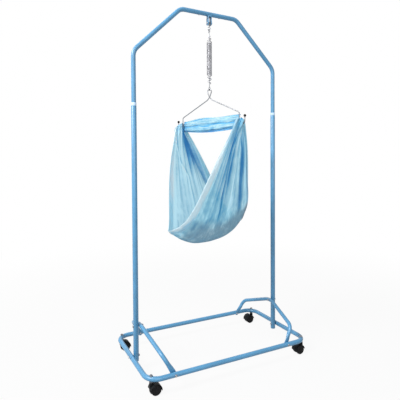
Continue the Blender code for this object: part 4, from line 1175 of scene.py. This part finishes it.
def hanger_frame(spring):
    """The turn from the hanger's own plane to how it hangs."""
    return Matrix.Rotation(spring.hanger_turn, 4, "Z")


class CRADLE_OT_hanger(bpy.types.Operator):
    """Build the hanger's bent wire and the ball caps on its tips"""

    bl_idname = "cradle.hanger"
    bl_label = "Wire hanger"

    def execute(self, context):
        scene = context.scene
        wire = scene.cradle_spring.hanger_wire
        turned = hanger_frame(scene.cradle_spring)
        crossing = EYE_TOP - wire - EYE_HEIGHT
        steel = plated_finish(
            "hanger_plate", tint(scene.cradle_stand.plating, 0.8), 0.38, (1.0, 1.0, 0.3))
        points = [turned @ point for point in self.points(wire, crossing)]
        build_piece(
            "bent_hanger", "hanger_wire",
            lambda shape: round_wire(shape, points, wire, WIRE_SIDES, turned @ AXIS_Y),
            steel, 50.0, "cradle")

        black = moulded_finish("ball_plastic", tuple(scene.cradle_casters.plastic), 0.55)
        tip_z = crossing - TIP_DROP
        low_z = tip_z - BALL_SOCKET
        profile = [
            (0, tip_z), (wire + GAP, tip_z), (wire + GAP, low_z + GAP), (wire + 2 * GAP, low_z)]
        for step in range(4, BALL_STEPS):
            reach = math.pi * (step / BALL_STEPS - 0.5)
            height = low_z + BALL_HEIGHT / 2 * (1 + math.sin(reach))
            profile.append((BALL_RADIUS * math.cos(reach), height))
        profile.append((0, low_z + BALL_HEIGHT))
        for side, word in SIDES:
            place = turned @ Matrix.Translation((side * TIP_HALF, 0, 0))
            build_piece(
                "round_cap_" + word, "ball_cap_" + word,
                lambda shape: turn(shape, profile, BALL_SIDES, place),
                black, body="cradle")
        return {"FINISHED"}

    def points(self, wire, crossing):
        """The wire in its own plane: a hook, an arm, the eye, an arm and a hook."""
        bottom = crossing - HOOK_DROP
        bend = (TIP_HALF - ARM_HALF) / 2 * NEARLY_FULL_SHARE
        corners = [
            (TIP_HALF, 0, crossing - TIP_DROP),
            (TIP_HALF, 0, bottom),
            (ARM_HALF, 0, bottom),
            (ARM_HALF, 0, crossing - ARM_DROP),
            (ARM_SHOULDER, 0, crossing - ARM_SHOULDER_DROP),
            (0, 0, crossing),
        ]
        right = rounded_path(corners, [bend, bend, KNEE_BEND, KNEE_BEND])[:-1]
        left = [Vector((-point.x, 0, point.z)) for point in right]
        centre = EYE_TOP - wire - EYE_HALF
        offset = wire + GAP / 2
        eye = []
        for step in range(EYE_STEPS + 1):
            share = step / EYE_STEPS
            angle = EYE_START + (math.pi - 2 * EYE_START) * share
            eye.append(Vector((
                EYE_HALF * math.cos(angle), offset * (1 - 2 * share),
                centre + EYE_HALF * math.sin(angle))))
        return [
            *left, Vector((0, offset, crossing)), *eye, Vector((0, -offset, crossing)),
            *reversed(right)]


RISE_POWER = 2.54
WIDTH_POWER = 2.02
DRAW_IN_PEAK = 3 * math.sqrt(3) / 2
SEAT_SHARE = 0.36
FOLD_COUNT = 4
FOLD_AT_HOOK_SHARE = 0.35
CLOTH_CAD_THICKNESS = 0.003
SLING_ROWS = 200
SLING_COLUMNS = 200
SLING_LENGTH = 1.40
ROW_SPACING_POWER = 1.2
HEM_STEPS = 8
HEM_TURN = 0.0008
HEM_PUFF = 0.0026
HEM_AT_HOOK_SHARE = 1 / 6
SEAT_WRINKLE = 0.0026
SEAT_SAG = 0.008
CREASE_DEPTH = 0.0045
CREASE_CUTOFF = 3
SHADOW_WIDTH = 0.3
BELLY_DEPTH = 0.016
BELLY_REACH = 0.33
BELLY_SPREAD = 0.14
BUNDLE_DEPTH = 0.0145
BUNDLE_POWER = 1.5
BUNDLE_LEAN = 0.55
BUNDLE_RUFFLE = 0.003
BUNDLE_RIPPLE = 0.30
BUNDLE_RIPPLE_COUNT = 5.1
BUNDLE_INNER_SHARE = 0.7
WRAP_COUNT = 0.6
WAVE_SHARE = 0.55
WRINKLE_SHARE = 0.8
STREAK_REACHES = (0.97, 0.80, 0.60, 0.40, 0.20)
BAND_HEIGHT = 0.064
BAND_SAG = 0.013
BAND_PAST_ARM = 0.011
BAND_BEHIND_WIRE = 0.004
BAND_DIP = 0.008
BAND_WAVER = 0.002
BAND_TUCK = (-0.006, 0.014)
BAND_FOLD = 0.0032
BAND_WRINKLE = 0.0024
BAND_PINCH = 0.003
BAND_FLAT_WIDTH = 0.10
BAND_FLAT_HALF = 0.19
BAND_ROWS = 120
BAND_COLUMNS = 64
THREAD_PITCH = 0.0016

# The gauze's tone, from 0 where it is pale to 1 where it is deep, and what each thing adds
# Most of what follows is painted light and shade; the base tones and the random blots are not.
TONE = 0.42
TONE_LIMITS = (-0.3, 1.0)
# Painted light and shade: one half of the sling paler, the other deeper.
SIDE_TONE = 0.10
# Painted shade along the gathers and the fine wrinkles.
WAVE_TONE = 0.13
WRINKLE_TONE = 0.20
BLOT_TONE = 0.20
# Painted shade along the seat's wrinkles.
SEAT_TONE = 0.12
# Painted shade in the creases, and a painted highlight on each pale ridge.
CREASE_TONE = 0.62
# Painted light: the edges paler, the hems paler still; painted shade deepens the hems again high
# towards the hooks.
EDGE_TONE = -0.16
HEM_EDGE_TONE = -0.34
HEM_TONE = -0.36
HEM_TONE_AT_HOOK = 0.30
BAND_TONE = 0.52
# The band: painted shade along its folds, wrinkles and pinch and towards its lower edge; it is
# also deeper at its ends and paler along its top.
BAND_FOLD_TONE = 0.14
BAND_WRINKLE_TONE = 0.34
BAND_PINCH_TONE = 0.60
BAND_SIDE_TONE = 0.22
BAND_TOP_TONE = -0.25
BAND_LOW_TONE = 0.22

# Colours of the gauze beside those in its settings
# The palest tone of the gauze, a painted highlight on its hems, edges and pale ridges.
PAINTED_HIGHLIGHT_GAUZE = (0.80, 0.925, 0.97)
# Painted shade that greys the sling's underside and the band.
PAINTED_SHADE_GAUZE = (0.18, 0.29, 0.40)
GAUZE_GLOW = (0.40, 0.72, 0.84)

# Waves of the gathers: how strong each is, how many lie across the sling, its phase, and how
# much that phase differs from side to side.
GATHERS = ((0.6, 2.9, 0.0, 1.1), (0.55, 5.3, 2.1, -1.0), (0.30, 11.7, 0.0, 0.4))

# How the gathers stray from straight lines: how far, and how fast that changes across, along
# and from side to side.
STRAYS = ((0.07, 4.1, 0.0, 1.3), (0.04, 9.0, 0.0, -1.0), (0.03, 5.0, 3.0, 0.0))

# Layers of noise on the cloth: how strong each is, how fine across and where across it starts,
# how fine along, and its level in the noise.
PLEAT_NOISE = ((1.0, 21.0, 0.0, 1.7, 3.0), (0.6, 52.0, 0.0, 2.6, 9.0))
SEAT_NOISE = ((1.0, 3.4, 4.0, 3.2, 7.0), (0.45, 9.0, 0.0, 8.0, 1.0))
BLOT_NOISE = ((1.0, 5.0, 2.0, 8.0, 11.0), (1.1, 17.0, 0.0, 26.0, 6.0))
BAND_NOISE = ((1.0, 2.5, 0.0, 16.0, 2.0), (0.5, 5.0, 0.0, 40.0, 5.0))

# Creases of the sling, painted shade in them and a painted highlight on each pale ridge. Each
# has its side, how deep it is (a pale ridge is below zero), its half width across, and its places
# across at the reaches above, from the hook to the seat.
STREAKS = (
    (-1, 1.35, 0.36, (0.10, 0.40, 0.62, 0.78, 0.90)),
    (-1, 0.45, 0.06, (0.30, 0.52, 0.70, 0.78, 0.85)),
    (-1, -0.55, 0.030, (-0.98, -0.68, -0.09, -0.05, -0.40)),
    (-1, 0.32, 0.05, (-0.90, -0.58, -0.01, 0.03, -0.30)),
    (-1, -0.35, 0.10, (-0.99, -0.93, -0.88, -0.85, -0.80)),
    (-1, 0.26, 0.06, (-0.70, -0.66, -0.55, -0.48, -0.42)),
    (-1, 0.16, 0.08, (-0.45, -0.30, -0.28, -0.25, -0.22)),
    (1, 0.35, 0.20, (-0.60, -0.66, -0.58, -0.52, -0.50)),
    (1, 0.70, 0.05, (-0.30, -0.44, -0.33, -0.22, -0.15)),
    (1, 0.30, 0.06, (-0.10, -0.20, -0.12, -0.02, 0.05)),
    (1, -0.42, 0.07, (0.02, 0.00, 0.06, 0.16, 0.22)),
    (1, 0.26, 0.05, (0.18, 0.22, 0.27, 0.33, 0.36)),
    (1, 0.80, 0.07, (0.30, 0.50, 0.53, 0.61, 0.68)),
    (1, -0.30, 0.10, (0.62, 0.72, 0.80, 0.84, 0.86)),
    (1, 0.25, 0.05, (0.86, 0.88, 0.93, 0.95, 0.96)),
)

# Broad patches of painted light and shade on the sling: reach, across, how far each spreads, and
# how much deeper it is.
PAINTED_LIGHT_AND_SHADE = (
    (-0.52, -0.90, 0.20, 0.07, -0.50),
    (-0.90, -0.82, 0.10, 0.15, -0.09),
    (-0.72, -0.73, 0.10, 0.12, -0.07),
    (-0.93, 0.35, 0.08, 0.34, 0.60),
    (-0.66, 0.57, 0.12, 0.20, -0.24),
    (0.66, -0.62, 0.12, 0.18, -0.17),
    (0.69, -0.12, 0.14, 0.18, 0.28),
    (0.68, 0.65, 0.20, 0.16, 0.24),
    (0.45, -0.57, 0.10, 0.25, -0.17),
    (0.39, 0.72, 0.08, 0.15, 0.08),
    (-0.15, -0.86, 0.10, 0.12, -0.28),
    (0.45, -0.92, 0.30, 0.09, -0.30),
    (-0.75, 0.93, 0.20, 0.06, -0.20),
)


def drawn_in(share):
    """How much of the draw-in shows at a share of the height: none at either end."""
    return math.sqrt(share) * (1 - share) * DRAW_IN_PEAK


def layered(across, length, layers, side=1.0):
    """Noise at a place of the cloth, in layers."""
    return sum(
        strength * noise.noise(Vector((across * fine + start, length * fine_along, level * side)))
        for strength, fine, start, fine_along, level in layers)


def streak_place(places, reach):
    """A crease's place across at a reach, between the places of its table."""
    for index in range(len(places) - 1):
        outer, inner = STREAK_REACHES[index], STREAK_REACHES[index + 1]
        if reach > inner:
            share = limited((outer - reach) / (outer - inner), 0.0, 1.0)
            return places[index] + (places[index + 1] - places[index]) * share
    return places[-1]


class CRADLE_OT_cloth(bpy.types.Operator):
    """Build the sling of gauze, gathered at the hooks, and the band between them"""

    bl_idname = "cradle.cloth"
    bl_label = "Gauze sling"

    def execute(self, context):
        self.cloth = context.scene.cradle_cloth
        self.spring = context.scene.cradle_spring
        self.turned = hanger_frame(self.spring)
        gauze = self.gauze_finish()
        sling = self.add_sheet("gauze_sling", self.sling_grid(), gauze,
                               ["cloth_left_side", "cloth_seat", "cloth_right_side"])
        band = self.add_sheet("gauze_band", self.band_grid(), gauze, ["cloth_top_band"])
        return {"FINISHED"}

    def sling_point(self, reach, across, depth, rise_by=0.0):
        """A point of the sling, and its share of the height.

        Its reach goes from -1 to 1 between the hooks, and across from -1 to 1 between the hems.
        """
        cloth = self.cloth
        middle_low = CLOTH_BOTTOM + CLOTH_CAD_THICKNESS / 2
        low_line = middle_low + cloth.end_rise * abs(across) ** RISE_POWER
        rise = CLOTH_TOP - low_line
        full = math.acosh(1 + rise / cloth.hang)
        bend = math.asinh(reach * math.sinh(full))
        height = cloth.hang * (math.cosh(bend) - 1)
        share = min(height / rise, 1.0)
        slope = Vector((HOOK_MIDDLE / full, cloth.hang * math.sinh(bend))).normalized()
        inset = cloth.side_draw_in * drawn_in(share)
        u = HOOK_MIDDLE * bend / full - math.copysign(inset, reach) + depth * slope.y
        width = cloth.half_width + (cloth.gather - cloth.half_width) * share ** WIDTH_POWER
        width -= cloth.hem_draw_in * drawn_in(share)
        z = low_line + height - depth * slope.x + rise_by
        return Vector((u, across * width, z)), share

    def relief(self, reach, across, share):
        """How far the cloth stands out, how deep its colour is and how bundled it is."""
        cloth = self.cloth
        side = 1.0 if reach > 0 else -1.0
        faded = smooth(abs(reach), SEAT_SHARE, 2 * SEAT_SHARE)
        main = math.sin(math.pi * FOLD_COUNT * across)
        main *= cloth.fold_depth * (1 - (1 - FOLD_AT_HOOK_SHARE) * share ** 4) * faded
        wave = self.gathers(reach, across, side)
        fine = layered(across, reach, PLEAT_NOISE, side)
        seat = layered(across, reach, SEAT_NOISE)
        body = smooth(share, 0.08, 0.60)
        bundle = smooth(share, 0.72, 1.0) ** BUNDLE_POWER
        belly = math.exp(-((reach - BELLY_REACH) / BELLY_SPREAD) ** 2) * smooth(across, 0.35, 1.0)
        folds, shades = self.streaks(reach, across, side)
        out = (wave * WAVE_SHARE + fine * WRINKLE_SHARE) * cloth.pleat_depth * body
        out += self.bundled(across, side) * BUNDLE_DEPTH * bundle
        out += seat * SEAT_WRINKLE * (1 - body)
        out += BELLY_DEPTH * belly
        out -= side * folds * CREASE_DEPTH
        # Painted light and shade: one half of the sling paler, the other deeper, and deeper along
        # the gathers and wrinkles.
        deep = TONE + side * SIDE_TONE - side * body * (WAVE_TONE * wave + WRINKLE_TONE * fine)
        # Random blots, and painted shade along the seat's wrinkles, low in the sling.
        blot = layered(across, reach, BLOT_NOISE)
        deep += (BLOT_TONE * blot + SEAT_TONE * seat) * smooth(1 - share, 0.50, 0.95)
        # Broad patches of painted light and shade.
        for at_reach, at_across, reach_spread, across_spread, amount in PAINTED_LIGHT_AND_SHADE:
            off = ((reach - at_reach) / reach_spread) ** 2
            off += ((across - at_across) / across_spread) ** 2
            deep += amount * math.exp(-off)
        return main + out, deep + shades, bundle

    def gathers(self, reach, across, side):
        """The waves of the gathers, which wander a little from straight lines."""
        spot = across + sum(
            far * math.sin(wide * across + long * reach + shift * side)
            for far, wide, long, shift in STRAYS)
        return sum(
            strength * math.sin(math.tau * count * spot + phase + shift * side)
            for strength, count, phase, shift in GATHERS)

    def bundled(self, across, side):
        """How the cloth wraps round itself where a hook holds it, less on the inner side."""
        wrap = -side * math.cos(math.tau * WRAP_COUNT * (across + 1))
        wrap += BUNDLE_RIPPLE * math.sin(math.tau * BUNDLE_RIPPLE_COUNT * across + side)
        return wrap * BUNDLE_INNER_SHARE if wrap * side > 0 else wrap

    def streaks(self, reach, across, side):
        """The relief and the painted shade of the creases from the hooks to the seat, with painted
        highlights on the pale ridges.
        """
        folds = 0.0
        shades = 0.0
        size = abs(reach)
        for where, depth, width, places in STREAKS:
            gap = (across - streak_place(places, size)) / width
            if where != side or abs(gap) > CREASE_CUTOFF:
                continue
            near = math.exp(-gap * gap) * smooth(size, 0.18, 0.50)
            faded = 1 - 0.35 * smooth(size, 0.90, 1.0)
            # The widest streaks are painted shade alone, without a fold.
            if width > SHADOW_WIDTH:
                near *= smooth(size, 0.42, 0.88)
            else:
                folds += depth * near * faded
            # Painted shade in each crease, a painted highlight on each pale ridge.
            shades += depth * near * faded * CREASE_TONE
        return folds, shades

    def painted_underside_shade(self, reach, across, share):
        """How much painted shade greys the sling's underside, low on its right side."""
        spread = share - 0.05 * smooth(across, 0.0, 0.5)
        under = (1 - smooth(spread, 0.05, 0.26)) * smooth(reach, -0.12, 0.03)
        under *= 1 - 0.35 * smooth(-across, 0.35, 0.85)
        return under * (1 - 0.8 * smooth(-across, 0.75, 1.0))

    def sling_grid(self):
        """Rows of points, each with its shares of colour and its place on the flat cloth."""
        rows = []
        for row in range(SLING_ROWS + 1):
            run = 2 * row / SLING_ROWS - 1
            reach = math.copysign(1 - (1 - abs(run)) ** ROW_SPACING_POWER, run)
            line = []
            for across, lift, hemmed in self.columns(reach):
                share = self.sling_point(reach, across, 0)[1]
                out, deep, bundle = self.relief(reach, across, share)
                edge = smooth(abs(across), 0.95, 1.0) * (1 - bundle)
                depth = out * (1 - 0.6 * edge) + lift
                lean = -BUNDLE_LEAN * depth * smooth(share, 0.90, 1.0)
                ruffle = noise.noise(Vector((across * 6.0, 4.0, reach)))
                ruffle = BUNDLE_RUFFLE * ruffle * bundle
                sag = -SEAT_SAG * smooth(1 - share, 0.55, 1.0)
                spot, share = self.sling_point(reach, across, depth, lean + ruffle + sag)
                # Painted light: paler edges, paler still on the hems; painted shade deepens the
                # hems again high towards the hooks.
                at_edge = smooth(abs(across), 0.93, 0.99)
                deep += (HEM_EDGE_TONE if hemmed else EDGE_TONE) * at_edge
                if hemmed:
                    deep += HEM_TONE + HEM_TONE_AT_HOOK * smooth(share, 0.62, 0.95)
                place = (
                    (across + 1) * self.cloth.half_width, (reach + 1) / 2 * SLING_LENGTH)
                # Painted shade on the sling's underside.
                under = self.painted_underside_shade(reach, across, share)
                line.append((self.turned @ spot, limited(deep, *TONE_LIMITS), under, place))
            rows.append(line)
        return rows

    def columns(self, reach):
        """Places across with their lifts; each hem turns back outwards, a little puffed."""
        width = self.sling_point(reach, 1.0, 0)[0].y
        hem_share = min(self.cloth.hem / width, HEM_AT_HOOK_SHARE)
        turned = []
        for step in range(HEM_STEPS + 1):
            share = step / HEM_STEPS
            lift = HEM_TURN * (0.6 + 1.4 * share) + HEM_PUFF * math.sin(math.pi * share) ** 0.8
            turned.append((1 - hem_share * (1 - share), lift, True))
        turned.append((1 + HEM_TURN / width, HEM_TURN, True))
        flat = [(2 * step / SLING_COLUMNS - 1, 0.0, False) for step in range(SLING_COLUMNS + 1)]
        front = [(-across, lift, hemmed) for across, lift, hemmed in turned]
        return [*front, *flat, *reversed(turned)]

    def band_grid(self):
        """The band behind the hanger's wire, with lengthwise folds drawn to its middle."""
        rows = []
        for row in range(BAND_ROWS + 1):
            run = 2 * row / BAND_ROWS - 1
            dip = BAND_DIP * smooth(-run, 0.30, 1.0) + BAND_WAVER * math.sin(5.0 * run)
            dip *= 1 - 0.4 * smooth(run, 0.5, 1.0)
            line = []
            for column in range(BAND_COLUMNS + 1):
                share = column / BAND_COLUMNS
                z = BAND_TOP - dip - share * (BAND_HEIGHT - dip + BAND_SAG * (1 - run ** 2))
                tucked = BAND_PAST_ARM * smooth(CLOTH_TOP - z, *BAND_TUCK)
                half = min(self.inside_at(z) - GAP * 4, ARM_HALF + tucked)
                behind, deep = self.band_relief(run, share)
                spot = self.turned @ Vector((half * run, behind, z))
                # Painted shade: the band a little grey all over, greyer towards its lower edge.
                under = 0.22 + 0.30 * smooth(share, 0.45, 0.90)
                place = (share * BAND_FLAT_WIDTH, (run + 1) * BAND_FLAT_HALF)
                line.append((spot, limited(deep, 0.0, 1.0), under, place))
            rows.append(line)
        return rows

    def band_relief(self, run, share):
        """How far the band stands behind the hanger's plane, and how deep its colour is."""
        behind = self.spring.hanger_wire + GAP + BAND_BEHIND_WIRE + CLOTH_CAD_THICKNESS / 2
        drift = 0.10 * math.sin(2.3 * run + 0.6) + 0.05 * math.sin(6.1 * run)
        wave = math.cos(math.tau * 2 * share + drift * 6)
        wave += 0.40 * math.sin(math.tau * (4.6 * share + drift) + run)
        fine = layered(run, share, BAND_NOISE)
        pinch = math.exp(-((run - 0.05) / 0.06) ** 2) * smooth(share, 0.55, 1.0)
        # Painted shade along the band's folds, wrinkles and pinch and towards its lower edge; the
        # band is also deeper at its ends and paler along its top.
        deep = BAND_TONE + BAND_FOLD_TONE * wave + BAND_WRINKLE_TONE * fine
        deep += BAND_PINCH_TONE * pinch
        deep += BAND_SIDE_TONE * smooth(abs(run), 0.82, 1.0)
        deep += BAND_TOP_TONE * (1 - smooth(share, 0.0, 0.12))
        deep += BAND_LOW_TONE * smooth(share, 0.62, 0.92)
        return behind + BAND_FOLD * wave + BAND_WRINKLE * fine + BAND_PINCH * pinch, deep

    def inside_at(self, height):
        """Half the clear width between the sling's sides at a height."""
        cloth = self.cloth
        rise = CLOTH_TOP - CLOTH_BOTTOM
        share = min((height - CLOTH_BOTTOM) / rise, 1.0)
        full = math.acosh(1 + rise / cloth.hang)
        bend = math.acosh(1 + rise * share / cloth.hang)
        return HOOK_MIDDLE * bend / full - cloth.side_draw_in * drawn_in(share) - cloth.fold_depth

    def add_sheet(self, name, rows, finish, nodes):
        """A sheet from rows of points, with the shares of its colours and its flat places."""
        mesh = bpy.data.meshes.new(name)
        wide = len(rows[0])
        points, deeps, painted_shades, places = zip(*(point for line in rows for point in line))
        faces = []
        for row in range(len(rows) - 1):
            for column in range(wide - 1):
                first = row * wide + column
                faces.append((first, first + 1, first + wide + 1, first + wide))
        mesh.from_pydata(points, [], faces)
        # The tone, mostly painted light and shade, and the share of grey painted shade.
        for kind, values in (("deep", deeps), ("under", painted_shades)):
            mesh.attributes.new(kind, "FLOAT", "POINT").data.foreach_set("value", values)
        flat = mesh.uv_layers.new(name="flat_cloth")
        for loop in mesh.loops:
            flat.data[loop.index].uv = places[loop.vertex_index]
        mesh.shade_smooth()
        return add_piece(name, mesh, finish, "cradle", nodes)

    def gauze_finish(self):
        """Thin sky-blue gauze: open weave, painted light and shade in its folds and underneath,
        light shining through.
        """
        cloth = self.cloth
        finish = Finish("sky_blue_gauze", tuple(cloth.colour))
        flat = finish.node("ShaderNodeUVMap", {"uv_map": "flat_cloth"})
        across = finish.node("ShaderNodeSeparateXYZ", {}, {0: flat}, "X")
        lengthwise = Value(finish, across.socket.node.outputs["Y"])
        warp, weft = (
            finish.node(
                "ShaderNodeMath", {"operation": "SINE"}, {0: place * (math.tau / THREAD_PITCH)})
            for place in (across, lengthwise))
        weave = warp * weft
        deep = finish.node("ShaderNodeAttribute", {"attribute_name": "deep"}, output="Fac")
        under = finish.node("ShaderNodeAttribute", {"attribute_name": "under"}, output="Fac")
        cloud = finish.noise(19.0, 4.0) - 0.5
        mottle = finish.noise(75.0, 3.0) - 0.5
        # The tone's painted light and shade, broken up by random clouds and mottle.
        level = deep + cloud * 0.30 + mottle * 0.16
        # From a painted highlight through pale and plain gauze to the painted shade of creases and
        # layers.
        stops = (
            (0.0, PAINTED_HIGHLIGHT_GAUZE), (0.24, cloth.pale), (0.48, cloth.colour),
            (0.74, cloth.strong), (1.0, cloth.deep))
        blue = finish.node("ShaderNodeValToRGB", {"stops": stops}, {0: level}, "Color")
        # Painted shade greys the underside and the band, broken up by clouds and mottle.
        under = finish.window(under + cloud * 0.6, 0.12, 0.88)
        finish.set(
            Base_Color=finish.blend(under * (0.75 + mottle * 0.7), blue, PAINTED_SHADE_GAUZE),
            Roughness=0.86,
            Specular_IOR_Level=0.2,
            Sheen_Weight=0.06,
            Sheen_Roughness=0.5,
            Alpha=0.78 + level * 0.22 + under * 0.22 + weave * 0.05,
            Normal=finish.bump(weave, 0.00025),
        )
        glow = finish.node("ShaderNodeBsdfTranslucent", {}, {"Color": GAUZE_GLOW})
        thin = finish.window(level, -0.20, 0.08) * (1 - finish.window(level, 0.10, 0.85))
        finish.overlay(0.06 + thin * (1 - under * 0.85) * 0.52, glow)
        return finish.material


FLOOR_COLOUR = (0.42, 0.42, 0.42)
FLOOR_RADIUS = 9.0
FLOOR_SIDES = 96
WHITE = (1.0, 1.0, 1.0)
SKY_COLOUR = (0.95, 0.97, 1.0)
SKY_STRENGTH = 0.31
SENSOR = 36.0
CLOSEST_VIEW = 0.03

# Square lamps, each with its name, place, size and power
LAMPS = (
    ("key_light", (-4.3, -0.7, 4.3), 2.0, 430.0),
    ("fill_light", (-0.7, -3.8, 2.2), 2.6, 80.0),
    ("back_light", (0.2, 3.2, 3.0), 2.2, 30.0),
)


class CRADLE_OT_stage(bpy.types.Operator):
    """Build the floor, the world, the lamps and the camera"""

    bl_idname = "cradle.stage"
    bl_label = "Stage"

    def execute(self, context):
        context.scene.view_settings.view_transform = "Standard"
        self.build_floor()
        self.build_world(context.scene)
        for lamp in LAMPS:
            self.build_lamp(*lamp)
        self.place_camera(context.scene, context.scene.cradle_stage)
        return {"FINISHED"}

    def build_floor(self):
        """A pale floor that keeps the shadow near the object and fades out to white."""
        finish = Finish("pale_floor", FLOOR_COLOUR)
        finish.set(Base_Color=FLOOR_COLOUR, Roughness=0.9)
        length = finish.node(
            "ShaderNodeVectorMath", {"operation": "LENGTH"}, {0: finish.place}, "Value")
        far = finish.window(length, 1.0, 3.2)
        paths = finish.node("ShaderNodeLightPath", output="Is Camera Ray")
        seen = paths + finish.node("ShaderNodeLightPath", output="Is Glossy Ray")
        seen = seen + finish.node("ShaderNodeLightPath", output="Is Transmission Ray")
        glow = finish.node("ShaderNodeEmission", {}, {"Color": WHITE, "Strength": 1.0})
        finish.overlay(seen * (0.93 + far * 0.07), glow)
        mesh = mesh_from(
            "studio_floor",
            lambda shape: bmesh.ops.create_circle(
                shape, cap_ends=True, radius=FLOOR_RADIUS, segments=FLOOR_SIDES))
        floor = add_item("studio_floor", mesh, finish.material)
        floor.location = (0, 0, WHEEL_FLOOR - GAP)

    def build_world(self, scene):
        """White where it is seen, and a soft grey light on everything else."""
        world = bpy.data.worlds.new("studio")
        scene.world = world
        world.use_nodes = True
        tree = world.node_tree
        light = tree.nodes["Background"]
        light.inputs["Color"].default_value = (*SKY_COLOUR, 1.0)
        light.inputs["Strength"].default_value = SKY_STRENGTH
        seen = tree.nodes.new("ShaderNodeBackground")
        seen.inputs["Color"].default_value = (*WHITE, 1.0)
        mix = tree.nodes.new("ShaderNodeMixShader")
        shown = tree.nodes.new("ShaderNodeLightPath").outputs["Is Camera Ray"]
        for kind in ("Is Glossy Ray", "Is Transmission Ray"):
            either = tree.nodes.new("ShaderNodeMath")
            either.operation = "MAXIMUM"
            paths = tree.nodes.new("ShaderNodeLightPath")
            tree.links.new(shown, either.inputs[0])
            tree.links.new(paths.outputs[kind], either.inputs[1])
            shown = either.outputs["Value"]
        shaders = (light.outputs["Background"], seen.outputs["Background"])
        for output, socket in zip((shown, *shaders), mix.inputs):
            tree.links.new(output, socket)
        tree.links.new(mix.outputs["Shader"], tree.nodes["World Output"].inputs["Surface"])

    def build_lamp(self, name, place, size, power):
        """A square soft light that faces the middle of the object."""
        lamp = bpy.data.lights.new(name, "AREA")
        lamp.size = size
        lamp.energy = power
        item = bpy.data.objects.new(name, lamp)
        bpy.context.scene.collection.objects.link(item)
        aim = Vector((0, 0, EYE_TOP / 2)) - Vector(place)
        turned = aim.to_track_quat("-Z", "Y").to_matrix().to_4x4()
        item.matrix_world = Matrix.Translation(place) @ turned

    def place_camera(self, scene, stage):
        """The photograph's view, with its vertical shift."""
        ahead = Vector((
            math.sin(stage.yaw) * math.cos(stage.pitch),
            math.cos(stage.yaw) * math.cos(stage.pitch),
            math.sin(stage.pitch)))
        level = Vector((math.cos(stage.yaw), -math.sin(stage.yaw), 0))
        rise = level.cross(ahead)
        right = level * math.cos(stage.roll) + rise * math.sin(stage.roll)
        up = rise * math.cos(stage.roll) - level * math.sin(stage.roll)
        lens = bpy.data.cameras.new("photo_camera")
        lens.sensor_width = SENSOR
        lens.lens = SENSOR * stage.focal_share
        lens.shift_y = stage.principal_share
        lens.clip_start = CLOSEST_VIEW
        camera = bpy.data.objects.new("photo_camera", lens)
        scene.collection.objects.link(camera)
        turned = Matrix((right, up, -ahead)).transposed().to_4x4()
        camera.matrix_world = Matrix.Translation(stage.place) @ turned
        scene.camera = camera


SETTINGS = {
    "cradle_stand": StandSettings,
    "cradle_casters": CasterSettings,
    "cradle_spring": SpringSettings,
    "cradle_cloth": ClothSettings,
    "cradle_stage": StageSettings,
}
OPERATORS = (
    CRADLE_OT_tubes,
    CRADLE_OT_fasteners,
    CRADLE_OT_casters,
    CRADLE_OT_suspension,
    CRADLE_OT_hanger,
    CRADLE_OT_cloth,
    CRADLE_OT_stage,
)


class CRADLE_PT_sidebar(bpy.types.Panel):
    """The cradle's pieces and their sizes"""

    bl_idname = "CRADLE_PT_sidebar"
    bl_label = "Cradle with Stand"
    bl_space_type = "VIEW_3D"
    bl_region_type = "UI"
    bl_category = "Cradle"

    def draw(self, context):
        """A button for each group of pieces, and their settings under them."""
        for operator in OPERATORS:
            self.layout.operator(operator.bl_idname)
        for name, group in SETTINGS.items():
            box = self.layout.box()
            for key in group.__annotations__:
                box.prop(getattr(context.scene, name), key)


def register():
    """Add the settings, the operators and the panel."""
    for group in SETTINGS.values():
        bpy.utils.register_class(group)
    for operator in OPERATORS:
        bpy.utils.register_class(operator)
    bpy.utils.register_class(CRADLE_PT_sidebar)
    for name, group in SETTINGS.items():
        setattr(bpy.types.Scene, name, PointerProperty(type=group))


def unregister():
    """Take the settings, the operators and the panel away again."""
    for name in SETTINGS:
        delattr(bpy.types.Scene, name)
    bpy.utils.unregister_class(CRADLE_PT_sidebar)
    for operator in reversed(OPERATORS):
        bpy.utils.unregister_class(operator)
    for group in reversed(list(SETTINGS.values())):
        bpy.utils.unregister_class(group)


def main():
    """Build the whole object."""
    register()
    for operator in OPERATORS:
        group, name = operator.bl_idname.split(".")
        getattr(getattr(bpy.ops, group), name)()
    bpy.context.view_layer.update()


if __name__ == "__main__":
    main()
